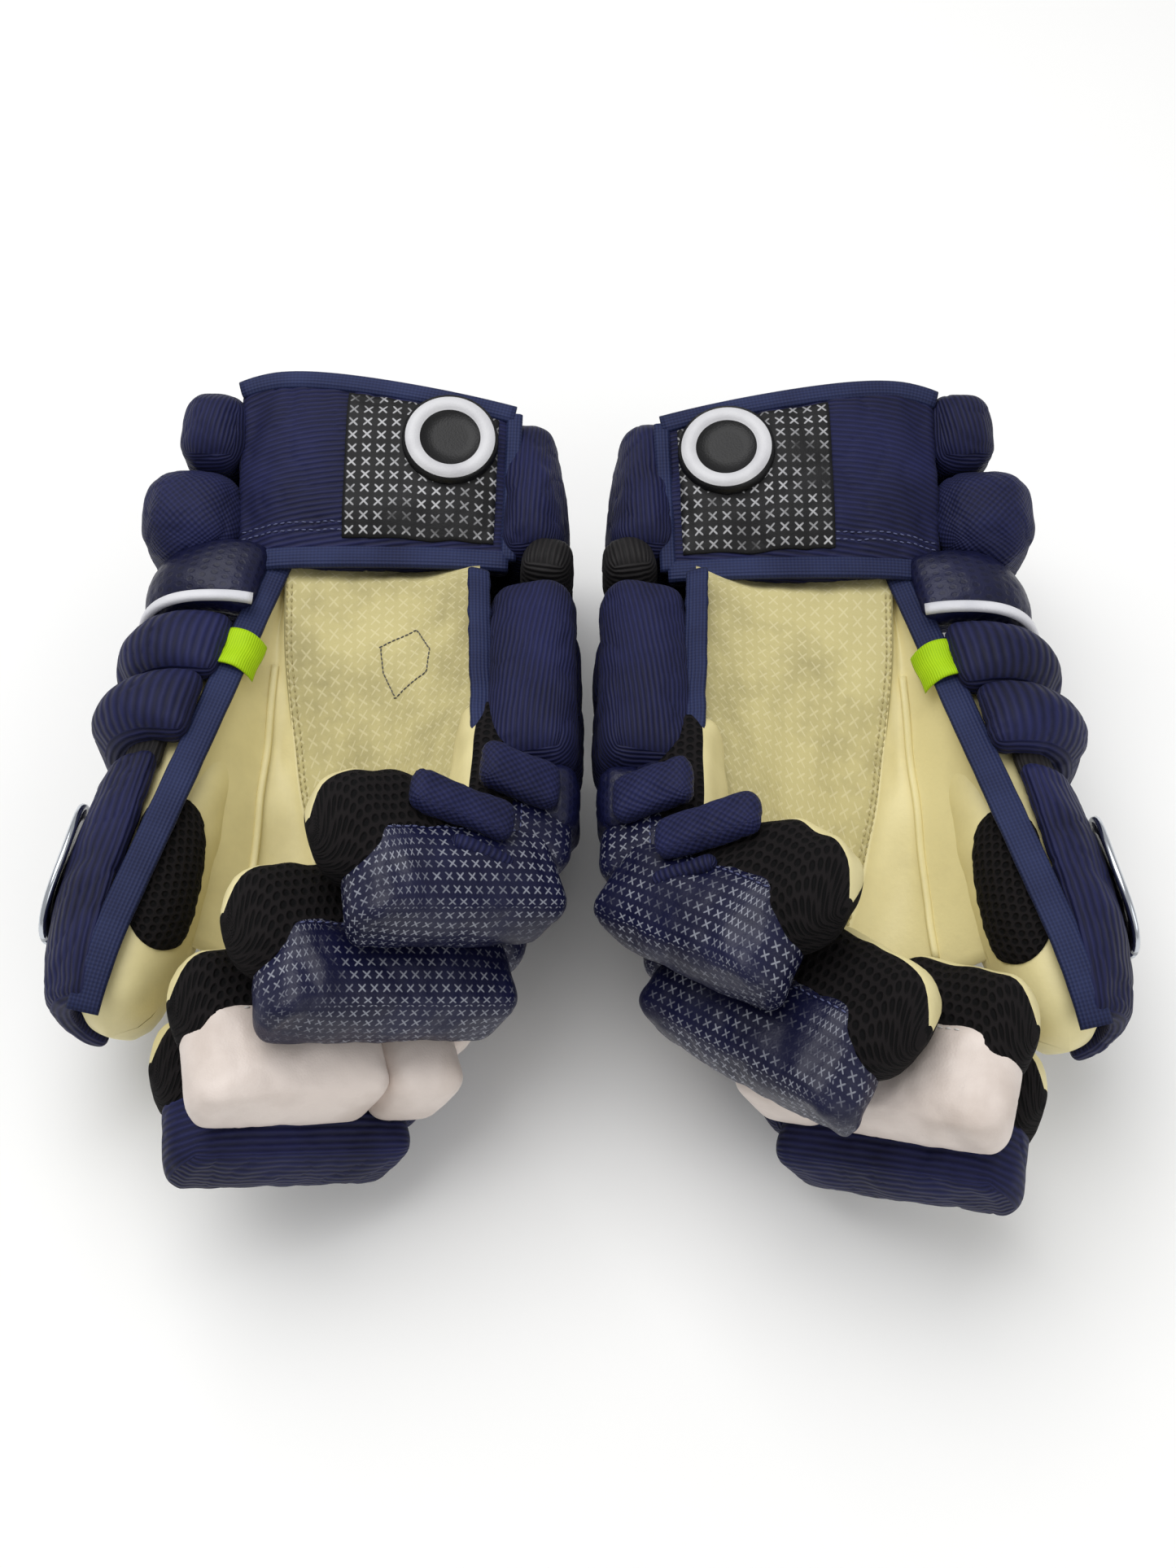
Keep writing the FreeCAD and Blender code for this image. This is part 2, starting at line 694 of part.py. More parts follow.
def place_pair():
    """Both gloves in the row frame: {node: solids}, {body: nodes} and the joints, all hinges."""
    right_nodes, right_bodies, right_joints = glove("right")
    left_nodes, left_bodies, left_joints = glove("left")
    shift_right = Vector(-PAIR_GAP / 2 - bounds(right_nodes).XMax, 0, 0)
    shift_left = Vector(-PAIR_GAP / 2 - bounds(left_nodes).XMax, PAIR_STAGGER, 0)
    nodes = {}
    for name, solids in right_nodes.items():
        nodes[name] = [s.translated(shift_right) for s in solids]
    for name, solids in left_nodes.items():
        moved = [s.translated(shift_left) for s in solids]
        nodes[name] = [s.mirror(Vector(0, 0, 0), Vector(1, 0, 0)) for s in moved]

    whole = bounds(nodes)
    centre = Vector((whole.XMin + whole.XMax) / 2, (whole.YMin + whole.YMax) / 2, whole.ZMin)
    nodes = {name: [s.translated(centre * -1) for s in solids] for name, solids in nodes.items()}

    def flipped(v):
        return Vector(-v.x, v.y, v.z)

    joints = []
    for joint in right_joints:
        at = joint["at"] + shift_right - centre
        joints.append({**joint, "at": at, "axis": joint["from"].cross(joint["to"])})
    for joint in left_joints:
        at = flipped(joint["at"] + shift_left) - centre
        axis = flipped(joint["from"]).cross(flipped(joint["to"]))
        joints.append({**joint, "at": at, "axis": axis})
    return nodes, {**right_bodies, **left_bodies}, joints


NODES, BODIES, JOINTS = place_pair()


def main():
    os.makedirs("parts", exist_ok=True)
    for name, solids in NODES.items():
        Part.makeCompound(solids).exportStep(f"parts/{name}.step")
    whole = bounds(NODES)
    print(f"{len(NODES)} nodes, {whole.XLength:.1f} x {whole.YLength:.1f} x {whole.ZLength:.1f} mm")


if __name__ == "__main__":
    main()
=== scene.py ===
"""Two padded ice hockey gloves lying palms up.

Lengths are millimetres until a mesh is made, and angles are degrees.
"""

import json
import math

import bmesh
import bpy
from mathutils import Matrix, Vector, noise
from mathutils.bvhtree import BVHTree


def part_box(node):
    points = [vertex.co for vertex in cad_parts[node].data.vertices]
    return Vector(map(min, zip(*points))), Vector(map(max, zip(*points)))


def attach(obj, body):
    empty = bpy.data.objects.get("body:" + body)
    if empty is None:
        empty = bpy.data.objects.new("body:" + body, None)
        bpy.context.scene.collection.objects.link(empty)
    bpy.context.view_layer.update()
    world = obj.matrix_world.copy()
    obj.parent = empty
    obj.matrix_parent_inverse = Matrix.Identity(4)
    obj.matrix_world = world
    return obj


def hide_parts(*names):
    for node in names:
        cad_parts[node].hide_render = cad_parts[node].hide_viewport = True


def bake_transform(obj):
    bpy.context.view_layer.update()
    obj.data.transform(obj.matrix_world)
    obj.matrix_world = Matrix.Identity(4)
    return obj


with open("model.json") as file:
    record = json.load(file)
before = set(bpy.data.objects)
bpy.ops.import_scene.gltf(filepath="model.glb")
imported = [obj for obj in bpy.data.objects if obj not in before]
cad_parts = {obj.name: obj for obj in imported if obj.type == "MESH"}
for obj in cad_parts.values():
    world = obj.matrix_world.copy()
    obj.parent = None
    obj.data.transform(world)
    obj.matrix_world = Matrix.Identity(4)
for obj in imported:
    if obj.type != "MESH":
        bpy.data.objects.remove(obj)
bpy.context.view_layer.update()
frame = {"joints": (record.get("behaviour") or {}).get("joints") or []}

# ---- Camera, floor and light --------------------------------------------------------------------
# A view from the finger end, 58 degrees above the floor and half a metre away.
# The floor is a pale studio sweep, and the light is a wide soft box overhead with a weaker one at the side.

MM = 0.001
ELEVATION = math.radians(58)
AIM = Vector((0, -3, 68)) * MM
DISTANCE = 543 * MM

scene = bpy.context.scene
scene.view_settings.view_transform = "Standard"
lens = bpy.data.cameras.new("camera")
lens.lens = 35.5
camera = bpy.data.objects.new("camera", lens)
camera.location = AIM + DISTANCE * Vector((0, -math.cos(ELEVATION), math.sin(ELEVATION)))
camera.rotation_euler = (math.pi / 2 - ELEVATION, 0, 0)
scene.collection.objects.link(camera)
scene.camera = camera


def linear(hex_colour, alpha=1.0):
    """An sRGB hex colour as the linear values that a shader reads."""
    shades = [int(hex_colour[i : i + 2], 16) / 255 for i in (1, 3, 5)]
    return (*[c / 12.92 if c <= 0.04045 else ((c + 0.055) / 1.055) ** 2.4 for c in shades], alpha)


def add_node(tree, kind, settings=None, inputs=None):
    """A node with its properties set, and each input given a value or linked to an output."""
    made = tree.nodes.new(kind)
    for name, value in (settings or {}).items():
        setattr(made, name, value)
    for key, value in (inputs or {}).items():
        if isinstance(value, bpy.types.NodeSocket):
            tree.links.new(value, made.inputs[key])
        else:
            made.inputs[key].default_value = value
    return made


def new_material(name, roughness, **sockets):
    """An empty surface: returns the material, its tree and its shader."""
    material = bpy.data.materials.new(name)
    material.use_nodes = True
    tree = material.node_tree
    shader = tree.nodes["Principled BSDF"]
    shader.inputs["Roughness"].default_value = roughness
    for socket, value in sockets.items():
        shader.inputs[socket.replace("_", " ")].default_value = value
    return material, tree, shader


paper = new_material("matt_paper", 0.9, Base_Color=linear("#FBFBFA"))[0]
floor_mesh = bpy.data.meshes.new("floor")
floor_mesh.from_pydata([(-6, -6, 0), (6, -6, 0), (6, 6, 0), (-6, 6, 0)], [], [(0, 1, 2, 3)])
floor_mesh.materials.append(paper)
floor = bpy.data.objects.new("floor", floor_mesh)
scene.collection.objects.link(floor)

sky = bpy.data.worlds.new("studio")
sky.use_nodes = True
sky.node_tree.nodes["Background"].inputs["Color"].default_value = linear("#FFFFFF")
sky.node_tree.nodes["Background"].inputs["Strength"].default_value = 0.5
scene.world = sky
for name, place, size, power in (
    ("soft_box", (-0.35, 0.35, 1.5), 1.3, 17.0),
    ("fill", (0.9, -0.9, 0.9), 1.0, 4.0),
):
    light = bpy.data.lights.new(name, "AREA")
    light.energy = power
    light.size = size
    lamp = bpy.data.objects.new(name, light)
    lamp.location = place
    lamp.rotation_euler = (AIM - Vector(place)).to_track_quat("-Z", "Y").to_euler()
    scene.collection.objects.link(lamp)

# ---- The hand's axes ----------------------------------------------------------------------------
# Both gloves are drawn as a right hand, and the left one's points are mirrored at the last step.
# Axes are e to the fingertips, a to the little finger and n out of the palm.

SIGN = {"right": 1, "left": -1}
FINGER_YAW, FINGER_ROLL = 14.0, 58.0
SHELL_ROLL = 50.0
BENDS = {
    "right": [(32.0, 90.0), (26.0, 88.0), (20.0, 88.0), (18.0, 86.0)],
    "left": [(38.0, 84.0), (36.0, 82.0), (16.0, 64.0), (14.0, 67.0)],
}
FINGERS = [("index", 48.0, 64.0), ("middle", 50.0, 73.0), ("ring", 48.0, 73.0), ("little", 42.0, 60.0)]


def hand_axes(yaw, roll):
    y, r = math.radians(yaw), math.radians(roll)
    level, up = Vector((math.cos(y), math.sin(y), 0)), Vector((0, 0, 1))
    e = Vector((math.sin(y), -math.cos(y), 0))
    return e, level * math.cos(r) + up * math.sin(r), up * math.cos(r) - level * math.sin(r)


def joint_point(side, name):
    """Where a hinge lies, read as on a right hand."""
    found = next(j for j in frame["joints"] if j["name"] == f"{side}_{name}")
    x, y, z = found["pos_m"]
    return Vector((x * SIGN[side], y, z)) / MM


def node_box(side, name):
    """The lowest and highest corner of a CAD node, read as on a right hand."""
    low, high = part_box(f"{side}_{name}")
    xs = sorted((low.x * SIGN[side], high.x * SIGN[side]))
    return Vector((xs[0], low.y, low.z)) / MM, Vector((xs[1], high.y, high.z)) / MM


def segment_frame(side, index, part):
    """Origin and axes of a finger's base or tip, on the finger's middle line."""
    finger = FINGERS[index][0]
    first, second = BENDS[side][index]
    e, a, n = hand_axes(FINGER_YAW, FINGER_ROLL)
    t = math.radians(first if part == "base" else second)
    along, out = e * math.cos(t) + n * math.sin(t), n * math.cos(t) - e * math.sin(t)
    if part == "base":
        return joint_point(side, f"{finger}_knuckle"), along, a, out
    return joint_point(side, f"{finger}_middle") + out * 5.0, along, a, out


def in_frame(axes, x, y, z):
    origin, e, a, n = axes
    return origin + e * x + a * y + n * z


def station(side, share):
    """Origin, e, a, n and half width of the hand's shell, from 0 at the wrist to 1 at the finger roots."""
    wrist = joint_point(side, "wrist") + Vector((4, -20, 0))
    knuckles = [joint_point(side, f"{finger}_knuckle") for finger, _, _ in FINGERS]
    e, _, _ = hand_axes(FINGER_YAW, FINGER_ROLL)
    root = sum(knuckles, Vector()) / 4 - e * 11.0
    turned = hand_axes(FINGER_YAW * share, SHELL_ROLL * share)
    return wrist.lerp(root, share), *turned, 39.0 + 19.0 * share


def on_shell(side, share, lateral, depth):
    """A point of the hand's shell: lateral is in half widths, and depth in millimetres out of the palm."""
    origin, e, a, n, half = station(side, share)
    slant = a - e * (share * 13.0 / 29.5)
    return origin + slant * (lateral * half) + n * (depth * (1 - 0.25 * share))


# ---- Padded rolls of the fingers ----------------------------------------------------------------
# Each finger carries stiff foam rolls on its back, sewn into woven nylon or polyurethane covers.
# The little and ring fingers are printed with small crosses, the middle one is white, the index is ribbed.


def woven(name, ground, light, pitch, angle, depth=0.25, roughness=0.62, cross=0.0):
    """Nylon cloth: diagonal ribs of thread at a pitch in millimetres, worn lighter in soft patches."""
    material, tree, shader = new_material(
        name, roughness, Sheen_Weight=0.02, Sheen_Roughness=0.5, Specular_IOR_Level=0.22
    )
    uv = add_node(tree, "ShaderNodeUVMap").outputs["UV"]
    turn = add_node(
        tree, "ShaderNodeMapping", inputs={"Vector": uv, "Rotation": (0, 0, math.radians(angle))}
    ).outputs["Vector"]
    ribs = add_node(
        tree,
        "ShaderNodeTexWave",
        {"bands_direction": "X", "wave_profile": "SIN"},
        {"Vector": turn, "Scale": 0.314 / pitch, "Distortion": 0.4, "Detail": 1.0, "Detail Scale": 2.0},
    ).outputs["Fac"]
    threads = add_node(
        tree,
        "ShaderNodeTexWave",
        {"bands_direction": "Y", "wave_profile": "SIN"},
        {"Vector": turn, "Scale": 0.314 / pitch, "Distortion": 0.4},
    ).outputs["Fac"]
    weave = add_node(
        tree, "ShaderNodeMix", {"data_type": "FLOAT"}, {0: cross, 2: ribs, 3: threads}
    ).outputs[0]
    place = add_node(tree, "ShaderNodeTexCoord").outputs["Object"]
    wear = add_node(
        tree, "ShaderNodeTexNoise", inputs={"Vector": place, "Scale": 38.0, "Detail": 5.0}
    ).outputs["Fac"]
    worn = add_node(
        tree, "ShaderNodeMapRange", inputs={"Value": wear, 1: 0.38, 2: 0.72, 3: 0.0, 4: 0.45}
    ).outputs[0]
    shade = add_node(
        tree, "ShaderNodeMath", {"operation": "MULTIPLY_ADD"}, {0: weave, 1: 0.55, 2: worn}
    ).outputs[0]
    colour = add_node(
        tree,
        "ShaderNodeMix",
        {"data_type": "RGBA", "clamp_factor": True},
        {0: shade, 6: linear(ground), 7: linear(light)},
    ).outputs[2]
    tree.links.new(colour, shader.inputs["Base Color"])
    bump = add_node(
        tree, "ShaderNodeBump", inputs={"Height": weave, "Strength": depth, "Distance": 0.0006}
    ).outputs["Normal"]
    tree.links.new(bump, shader.inputs["Normal"])
    return material


def cell_marks(tree, uv, pitch, stagger=0.5):
    """Coordinates from -0.5 to 0.5 inside each cell of a staggered grid on the cloth."""
    grid = add_node(
        tree, "ShaderNodeVectorMath", {"operation": "SCALE"}, {0: uv, 3: 1.0 / pitch}
    ).outputs[0]
    split = add_node(tree, "ShaderNodeSeparateXYZ", inputs={0: grid})
    row = add_node(tree, "ShaderNodeMath", {"operation": "FLOOR"}, {0: split.outputs[1]}).outputs[0]
    shift = add_node(
        tree,
        "ShaderNodeMath",
        {"operation": "MULTIPLY_ADD"},
        {0: row, 1: stagger, 2: split.outputs[0]},
    ).outputs[0]
    cell = add_node(tree, "ShaderNodeCombineXYZ", inputs={0: shift, 1: split.outputs[1]}).outputs[0]
    fraction = add_node(tree, "ShaderNodeVectorMath", {"operation": "FRACTION"}, {0: cell}).outputs[0]
    return add_node(
        tree, "ShaderNodeVectorMath", {"operation": "SUBTRACT"}, {0: fraction, 1: (0.5, 0.5, 0)}
    ).outputs[0]


def cross_mask(tree, uv, pitch, reach, width, stagger=0.5):
    """1 on small crosses printed in a grid: reach and width are shares of the grid's pitch."""
    marks = cell_marks(tree, uv, pitch, stagger)
    split = add_node(tree, "ShaderNodeSeparateXYZ", inputs={0: marks})
    x, y = split.outputs[0], split.outputs[1]
    rising = add_node(tree, "ShaderNodeMath", {"operation": "SUBTRACT"}, {0: x, 1: y}).outputs[0]
    falling = add_node(tree, "ShaderNodeMath", {"operation": "ADD"}, {0: x, 1: y}).outputs[0]
    strokes = [
        add_node(tree, "ShaderNodeMath", {"operation": "ABSOLUTE"}, {0: value}).outputs[0]
        for value in (rising, falling, x, y)
    ]
    nearest = add_node(
        tree, "ShaderNodeMath", {"operation": "MINIMUM"}, {0: strokes[0], 1: strokes[1]}
    ).outputs[0]
    furthest = add_node(
        tree, "ShaderNodeMath", {"operation": "MAXIMUM"}, {0: strokes[2], 1: strokes[3]}
    ).outputs[0]
    line = add_node(
        tree,
        "ShaderNodeMapRange",
        {"interpolation_type": "SMOOTHSTEP"},
        {"Value": nearest, 1: width * 0.6, 2: width * 1.4, 3: 1.0, 4: 0.0},
    ).outputs[0]
    inside = add_node(
        tree,
        "ShaderNodeMapRange",
        {"interpolation_type": "SMOOTHSTEP"},
        {"Value": furthest, 1: reach * 0.9, 2: reach * 1.1, 3: 1.0, 4: 0.0},
    ).outputs[0]
    return add_node(tree, "ShaderNodeMath", {"operation": "MULTIPLY"}, {0: line, 1: inside}).outputs[0]


def coated(name, ground, worn_to, roughness=0.42, print_colour=None, emboss=0.0, pitch=4.0, stagger=0.5):
    """Polyurethane on cloth: fine grain and soft gloss, with printed crosses or embossed dots if asked for."""
    material, tree, shader = new_material(name, roughness, Specular_IOR_Level=0.3)
    place = add_node(tree, "ShaderNodeTexCoord").outputs["Object"]
    uv = add_node(tree, "ShaderNodeUVMap").outputs["UV"]
    cloud = add_node(
        tree, "ShaderNodeTexNoise", inputs={"Vector": place, "Scale": 45.0, "Detail": 4.0}
    ).outputs["Fac"]
    patches = add_node(tree, "ShaderNodeMapRange", inputs={"Value": cloud, 1: 0.45, 2: 0.8}).outputs[0]
    colour = add_node(
        tree,
        "ShaderNodeMix",
        {"data_type": "RGBA", "clamp_factor": True},
        {0: patches, 6: linear(ground), 7: linear(worn_to)},
    ).outputs[2]
    height = add_node(
        tree, "ShaderNodeTexVoronoi", {"feature": "F1"}, {"Vector": place, "Scale": 1400.0}
    ).outputs["Distance"]
    if print_colour:
        mask = cross_mask(tree, uv, pitch, 0.3, 0.085, stagger)
        faded = add_node(
            tree, "ShaderNodeTexNoise", inputs={"Vector": place, "Scale": 60.0, "Detail": 3.0}
        ).outputs["Fac"]
        kept = add_node(
            tree, "ShaderNodeMapRange", inputs={"Value": faded, 1: 0.34, 2: 0.6, 3: 0.05, 4: 0.95}
        ).outputs[0]
        ink = add_node(tree, "ShaderNodeMath", {"operation": "MULTIPLY"}, {0: mask, 1: kept}).outputs[0]
        colour = add_node(
            tree,
            "ShaderNodeMix",
            {"data_type": "RGBA", "clamp_factor": True},
            {0: ink, 6: colour, 7: linear(print_colour)},
        ).outputs[2]
    if emboss:
        cells = cell_marks(tree, uv, emboss)
        dots = add_node(tree, "ShaderNodeVectorMath", {"operation": "LENGTH"}, {0: cells}).outputs["Value"]
        dent = add_node(
            tree,
            "ShaderNodeMapRange",
            {"interpolation_type": "SMOOTHSTEP"},
            {"Value": dots, 1: 0.2, 2: 0.36},
        ).outputs[0]
        height = add_node(
            tree, "ShaderNodeMath", {"operation": "MULTIPLY_ADD"}, {0: dent, 1: 4.0, 2: height}
        ).outputs[0]
        # Painted shade: the colour is painted darker inside each embossed dot, as shade in its hollow.
        colour = add_node(
            tree,
            "ShaderNodeMix",
            {"data_type": "RGBA", "clamp_factor": True, "blend_type": "MULTIPLY"},
            {0: 0.5, 6: colour, 7: add_node(
                tree, "ShaderNodeMapRange", inputs={"Value": dent, 3: 0.45, 4: 1.0}
            ).outputs[0]},
        ).outputs[2]
    tree.links.new(colour, shader.inputs["Base Color"])
    bump = add_node(
        tree, "ShaderNodeBump", inputs={"Height": height, "Strength": 0.18, "Distance": 0.0003}
    ).outputs["Normal"]
    tree.links.new(bump, shader.inputs["Normal"])
    return material


NAVY, NAVY_LIGHT = "#080A26", "#1F2350"
twill = woven("navy_nylon_twill", NAVY, NAVY_LIGHT, 1.9, 82, 0.55)
ribbed = woven("navy_ribbed_nylon", "#070924", "#1F2350", 2.4, 90, 0.6)
knit = woven("navy_knitted_nylon", "#080A26", "#242958", 1.9, 45, 0.6, cross=0.5)
printed = coated("printed_polyurethane", "#0B0D2C", "#15183A", print_colour="#8A8D98", pitch=4.1)
dotted = coated("embossed_polyurethane", "#0D1030", "#1A1D42", emboss=3.0)
white_cover = coated("white_polyurethane", "#DFD3CB", "#C4B6AC", 0.42)


def pillow(size, radius, crown, step=2.8):
    """Six patches of a rounded block about the origin. Each is rows of (point, (u, v) on the cloth).

    crown says by what share each side swells at its middle.
    """
    half = Vector(size) / 2
    core = [max(h - radius, 0.0) for h in half]
    patches = []
    for axis in range(3):
        b, c = [k for k in range(3) if k != axis]
        for sign in (-1, 1):
            across = max(2, round(size[b] / step))
            down = max(2, round(size[c] / step))
            rows = []
            for i in range(across + 1):
                row = []
                for j in range(down + 1):
                    p = Vector((0, 0, 0))
                    p[axis] = sign * half[axis]
                    p[b] = (2 * i / across - 1) * half[b]
                    p[c] = (2 * j / down - 1) * half[c]
                    flat = (p[b], p[c])
                    q = Vector([max(-core[k], min(core[k], p[k])) for k in range(3)])
                    p = q + (p - q).normalized() * min(radius, min(half))
                    share = [min(1.0, abs(p[k]) / half[k]) for k in range(3)]
                    swell = [
                        1 + crown[k] * (1 - share[(k + 1) % 3] ** 2) * (1 - share[(k + 2) % 3] ** 2)
                        for k in range(3)
                    ]
                    row.append((Vector([p[k] * swell[k] for k in range(3)]), flat))
                rows.append(row)
            patches.append(rows)
    return patches


def add_piece(side, name, patches, materials, shape=None, pick=None):
    """A mesh of joined patches. shape places each point, and pick chooses a material by patch number."""
    mesh = bpy.data.meshes.new(f"{side}_{name}")
    build = bmesh.new()
    uv_layer = build.loops.layers.uv.new("UVMap")
    seam_layer = build.verts.layers.float.new("seam")
    for number, rows in enumerate(patches):
        verts = []
        for i, row in enumerate(rows):
            line = []
            for j, (p, _) in enumerate(row):
                q = shape(p.copy()) if shape else p
                vert = build.verts.new((q.x * SIGN[side] * MM, q.y * MM, q.z * MM))
                edge = i in (0, len(rows) - 1) or j in (0, len(row) - 1)
                vert[seam_layer] = 1.0 if edge else 0.0
                line.append(vert)
            verts.append(line)
        for i in range(len(rows) - 1):
            for j in range(len(rows[i]) - 1):
                corners = [(i, j), (i + 1, j), (i + 1, j + 1), (i, j + 1)]
                face = build.faces.new([verts[r][c] for r, c in corners])
                face.smooth = True
                face.material_index = pick(number) if pick else 0
                for loop, (r, c) in zip(face.loops, corners):
                    loop[uv_layer].uv = rows[r][c][1]
    bmesh.ops.remove_doubles(build, verts=build.verts, dist=0.02 * MM)
    bmesh.ops.dissolve_degenerate(build, edges=build.edges, dist=0.01 * MM)
    bmesh.ops.recalc_face_normals(build, faces=build.faces)
    build.to_mesh(mesh)
    build.free()
    for material in materials:
        mesh.materials.append(material)
    piece = bpy.data.objects.new(f"{side}_{name}", mesh)
    scene.collection.objects.link(piece)
    return piece


PADS = []


def add_pad(side, name, body, size, radius, crown, materials, shape, slot, **more):
    """A foam roll, puffed with the others later. body is one body, or two with the way between them."""
    step, pick = more.get("step", 2.8), more.get("pick")
    piece = add_piece(side, name, pillow(size, radius, crown, step), materials, shape, pick)
    PADS.append((piece, side, body, slot, more.get("fill", 0.8), {
        "navy_printed": 0.24, "white_coated": 0.13,
    }.get(slot, 0.36)))
    return piece


def frame_pad(side, name, body, axes, low, high, radius, crown, materials, slot, taper=None, **more):
    """A pad that fills the box from low to high in a frame, once taper has bent each of its points."""
    size = Vector(high) - Vector(low)
    middle = (Vector(high) + Vector(low)) / 2

    def shape(p):
        q = p + middle
        if taper:
            q = taper(q)
        return in_frame(axes, *q)

    return add_pad(side, name, body, size, radius, crown, materials, shape, slot, **more)


def tip_taper(reach, cut):
    """A fingertip roll is cut aslant at its end, so that its cover shows a three-cornered end."""

    def taper(q):
        end = min(1.0, max(0.0, (q.x - (reach - 24)) / 24))
        slant = cut * (0.35 + 0.65 * (q.z + 26) / 34) + 4.0 * (q.y / 14) ** 2
        q.x -= slant * end
        q.y *= 1 - 0.12 * end**2
        return q

    return taper


def mirrored(side, p):
    """A point in metres on this side's glove."""
    return (p.x * SIGN[side] * MM, p.y * MM, p.z * MM)


HALF_ROLL = 13.9
ROLL_BACK = -26.0
for side in SIGN:
    for index, (finger, length, reach) in enumerate(FINGERS):
        base = segment_frame(side, index, "base")
        tip = segment_frame(side, index, "tip")
        cover = {"index": ribbed, "middle": white_cover, "ring": printed, "little": printed}[finger]
        slot = {"index": "navy_fabric", "middle": "white_coated"}.get(finger, "navy_printed")
        crown = (0.03, 0.05, 0.08)
        roll = frame_pad(
            side, f"{finger}_knuckle_roll", f"{finger}_base", base,
            (-6, -HALF_ROLL, ROLL_BACK + 1), (16, HALF_ROLL, 0), 6.5, crown,
            [dotted if cover is printed else cover], slot,
        )
        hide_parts(f"{side}_{finger}_base_pad")
        frame_pad(
            side, f"{finger}_base_roll", f"{finger}_base", base,
            (16.4, -HALF_ROLL, ROLL_BACK + 0.5), (length - 3, HALF_ROLL, 2), 6.5, crown, [cover], slot,
        )
        start = -15.0
        across = (f"{finger}_base", f"{finger}_tip", in_frame(tip, -13, 0, -16), in_frame(tip, 4, 0, -16))
        if finger == "middle":
            frame_pad(
                side, "middle_corner_roll", across, tip,
                (start, -HALF_ROLL, ROLL_BACK), (11, HALF_ROLL, 2), 6.0, crown, [cover], slot,
            )
            start = 11.5
            across = "middle_tip"
        roll = frame_pad(
            side, f"{finger}_tip_roll", across, tip,
            (start, -HALF_ROLL, ROLL_BACK), (reach + 2, HALF_ROLL, 7), 6.5, crown, [cover], slot,
            tip_taper(reach + 2, {"index": 5.0, "middle": 4.0}.get(finger, 12.0)),
        )
        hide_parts(f"{side}_{finger}_tip_pad")

# ---- Finger tubes -------------------------------------------------------------------------------
# Each finger lies in a sewn tube: open black air mesh at the sides and cream leather on the palm side.
# It is made as two tubes, which run from the hand over both hinges already shaped to the bent finger.


def air_mesh(name):
    """Knitted spacer mesh: round holes 2.2 mm wide in a staggered grid, with soft dull threads between."""
    material, tree, shader = new_material(name, 0.85, Specular_IOR_Level=0.15)
    uv = add_node(tree, "ShaderNodeUVMap").outputs["UV"]
    cells = cell_marks(tree, uv, 3.1)
    radius = add_node(tree, "ShaderNodeVectorMath", {"operation": "LENGTH"}, {0: cells}).outputs["Value"]
    thread = add_node(
        tree,
        "ShaderNodeMapRange",
        {"interpolation_type": "SMOOTHSTEP"},
        {"Value": radius, 1: 0.2, 2: 0.44},
    ).outputs[0]
    # Painted shade: the holes are painted darker than the threads, as shade inside them.
    colour = add_node(
        tree,
        "ShaderNodeMix",
        {"data_type": "RGBA", "clamp_factor": True},
        {0: thread, 6: linear("#050506"), 7: linear("#171415")},
    ).outputs[2]
    tree.links.new(colour, shader.inputs["Base Color"])
    bump = add_node(
        tree, "ShaderNodeBump", inputs={"Height": thread, "Strength": 0.9, "Distance": 0.0012}
    ).outputs["Normal"]
    tree.links.new(bump, shader.inputs["Normal"])
    return material


def hide(name, ground, shadow, roughness, grain, dirt=0.0, crosses=False):
    """Cream synthetic leather: a fine nap, handled darker in patches, with pressed crosses if asked for."""
    material, tree, shader = new_material(name, roughness)
    place = add_node(tree, "ShaderNodeTexCoord").outputs["Object"]
    uv = add_node(tree, "ShaderNodeUVMap").outputs["UV"]
    cloud = add_node(
        tree, "ShaderNodeTexNoise", inputs={"Vector": place, "Scale": 22.0, "Detail": 6.0, "Roughness": 0.6}
    ).outputs["Fac"]
    nap = add_node(
        tree, "ShaderNodeTexNoise", inputs={"Vector": place, "Scale": grain, "Detail": 4.0}
    ).outputs["Fac"]
    shade = add_node(
        tree, "ShaderNodeMapRange", inputs={"Value": cloud, 1: 0.42, 2: 0.75, 3: dirt * 0.2, 4: 0.35 + dirt}
    ).outputs[0]
    colour = add_node(
        tree,
        "ShaderNodeMix",
        {"data_type": "RGBA", "clamp_factor": True},
        {0: shade, 6: linear(ground), 7: linear(shadow)},
    ).outputs[2]
    height = nap
    if crosses:
        mask = cross_mask(tree, uv, 5.2, 0.34, 0.08)
        faint = add_node(tree, "ShaderNodeMath", {"operation": "MULTIPLY"}, {0: mask, 1: 0.28}).outputs[0]
        colour = add_node(
            tree,
            "ShaderNodeMix",
            {"data_type": "RGBA", "clamp_factor": True},
            {0: faint, 6: colour, 7: linear("#F3EAC2")},
        ).outputs[2]
        height = add_node(
            tree, "ShaderNodeMath", {"operation": "MULTIPLY_ADD"}, {0: mask, 1: -0.4, 2: nap}
        ).outputs[0]
    tree.links.new(colour, shader.inputs["Base Color"])
    bump = add_node(
        tree, "ShaderNodeBump", inputs={"Height": height, "Strength": 0.25, "Distance": 0.0004}
    ).outputs["Normal"]
    tree.links.new(bump, shader.inputs["Normal"])
    return material


mesh_cloth = air_mesh("black_air_mesh")
suede = hide("cream_synthetic_suede", "#CFC48C", "#766D4A", 0.85, 900.0, 0.5, True)
smooth_leather = hide("cream_smooth_leather", "#E6DAA2", "#B0A374", 0.5, 500.0, 0.12)




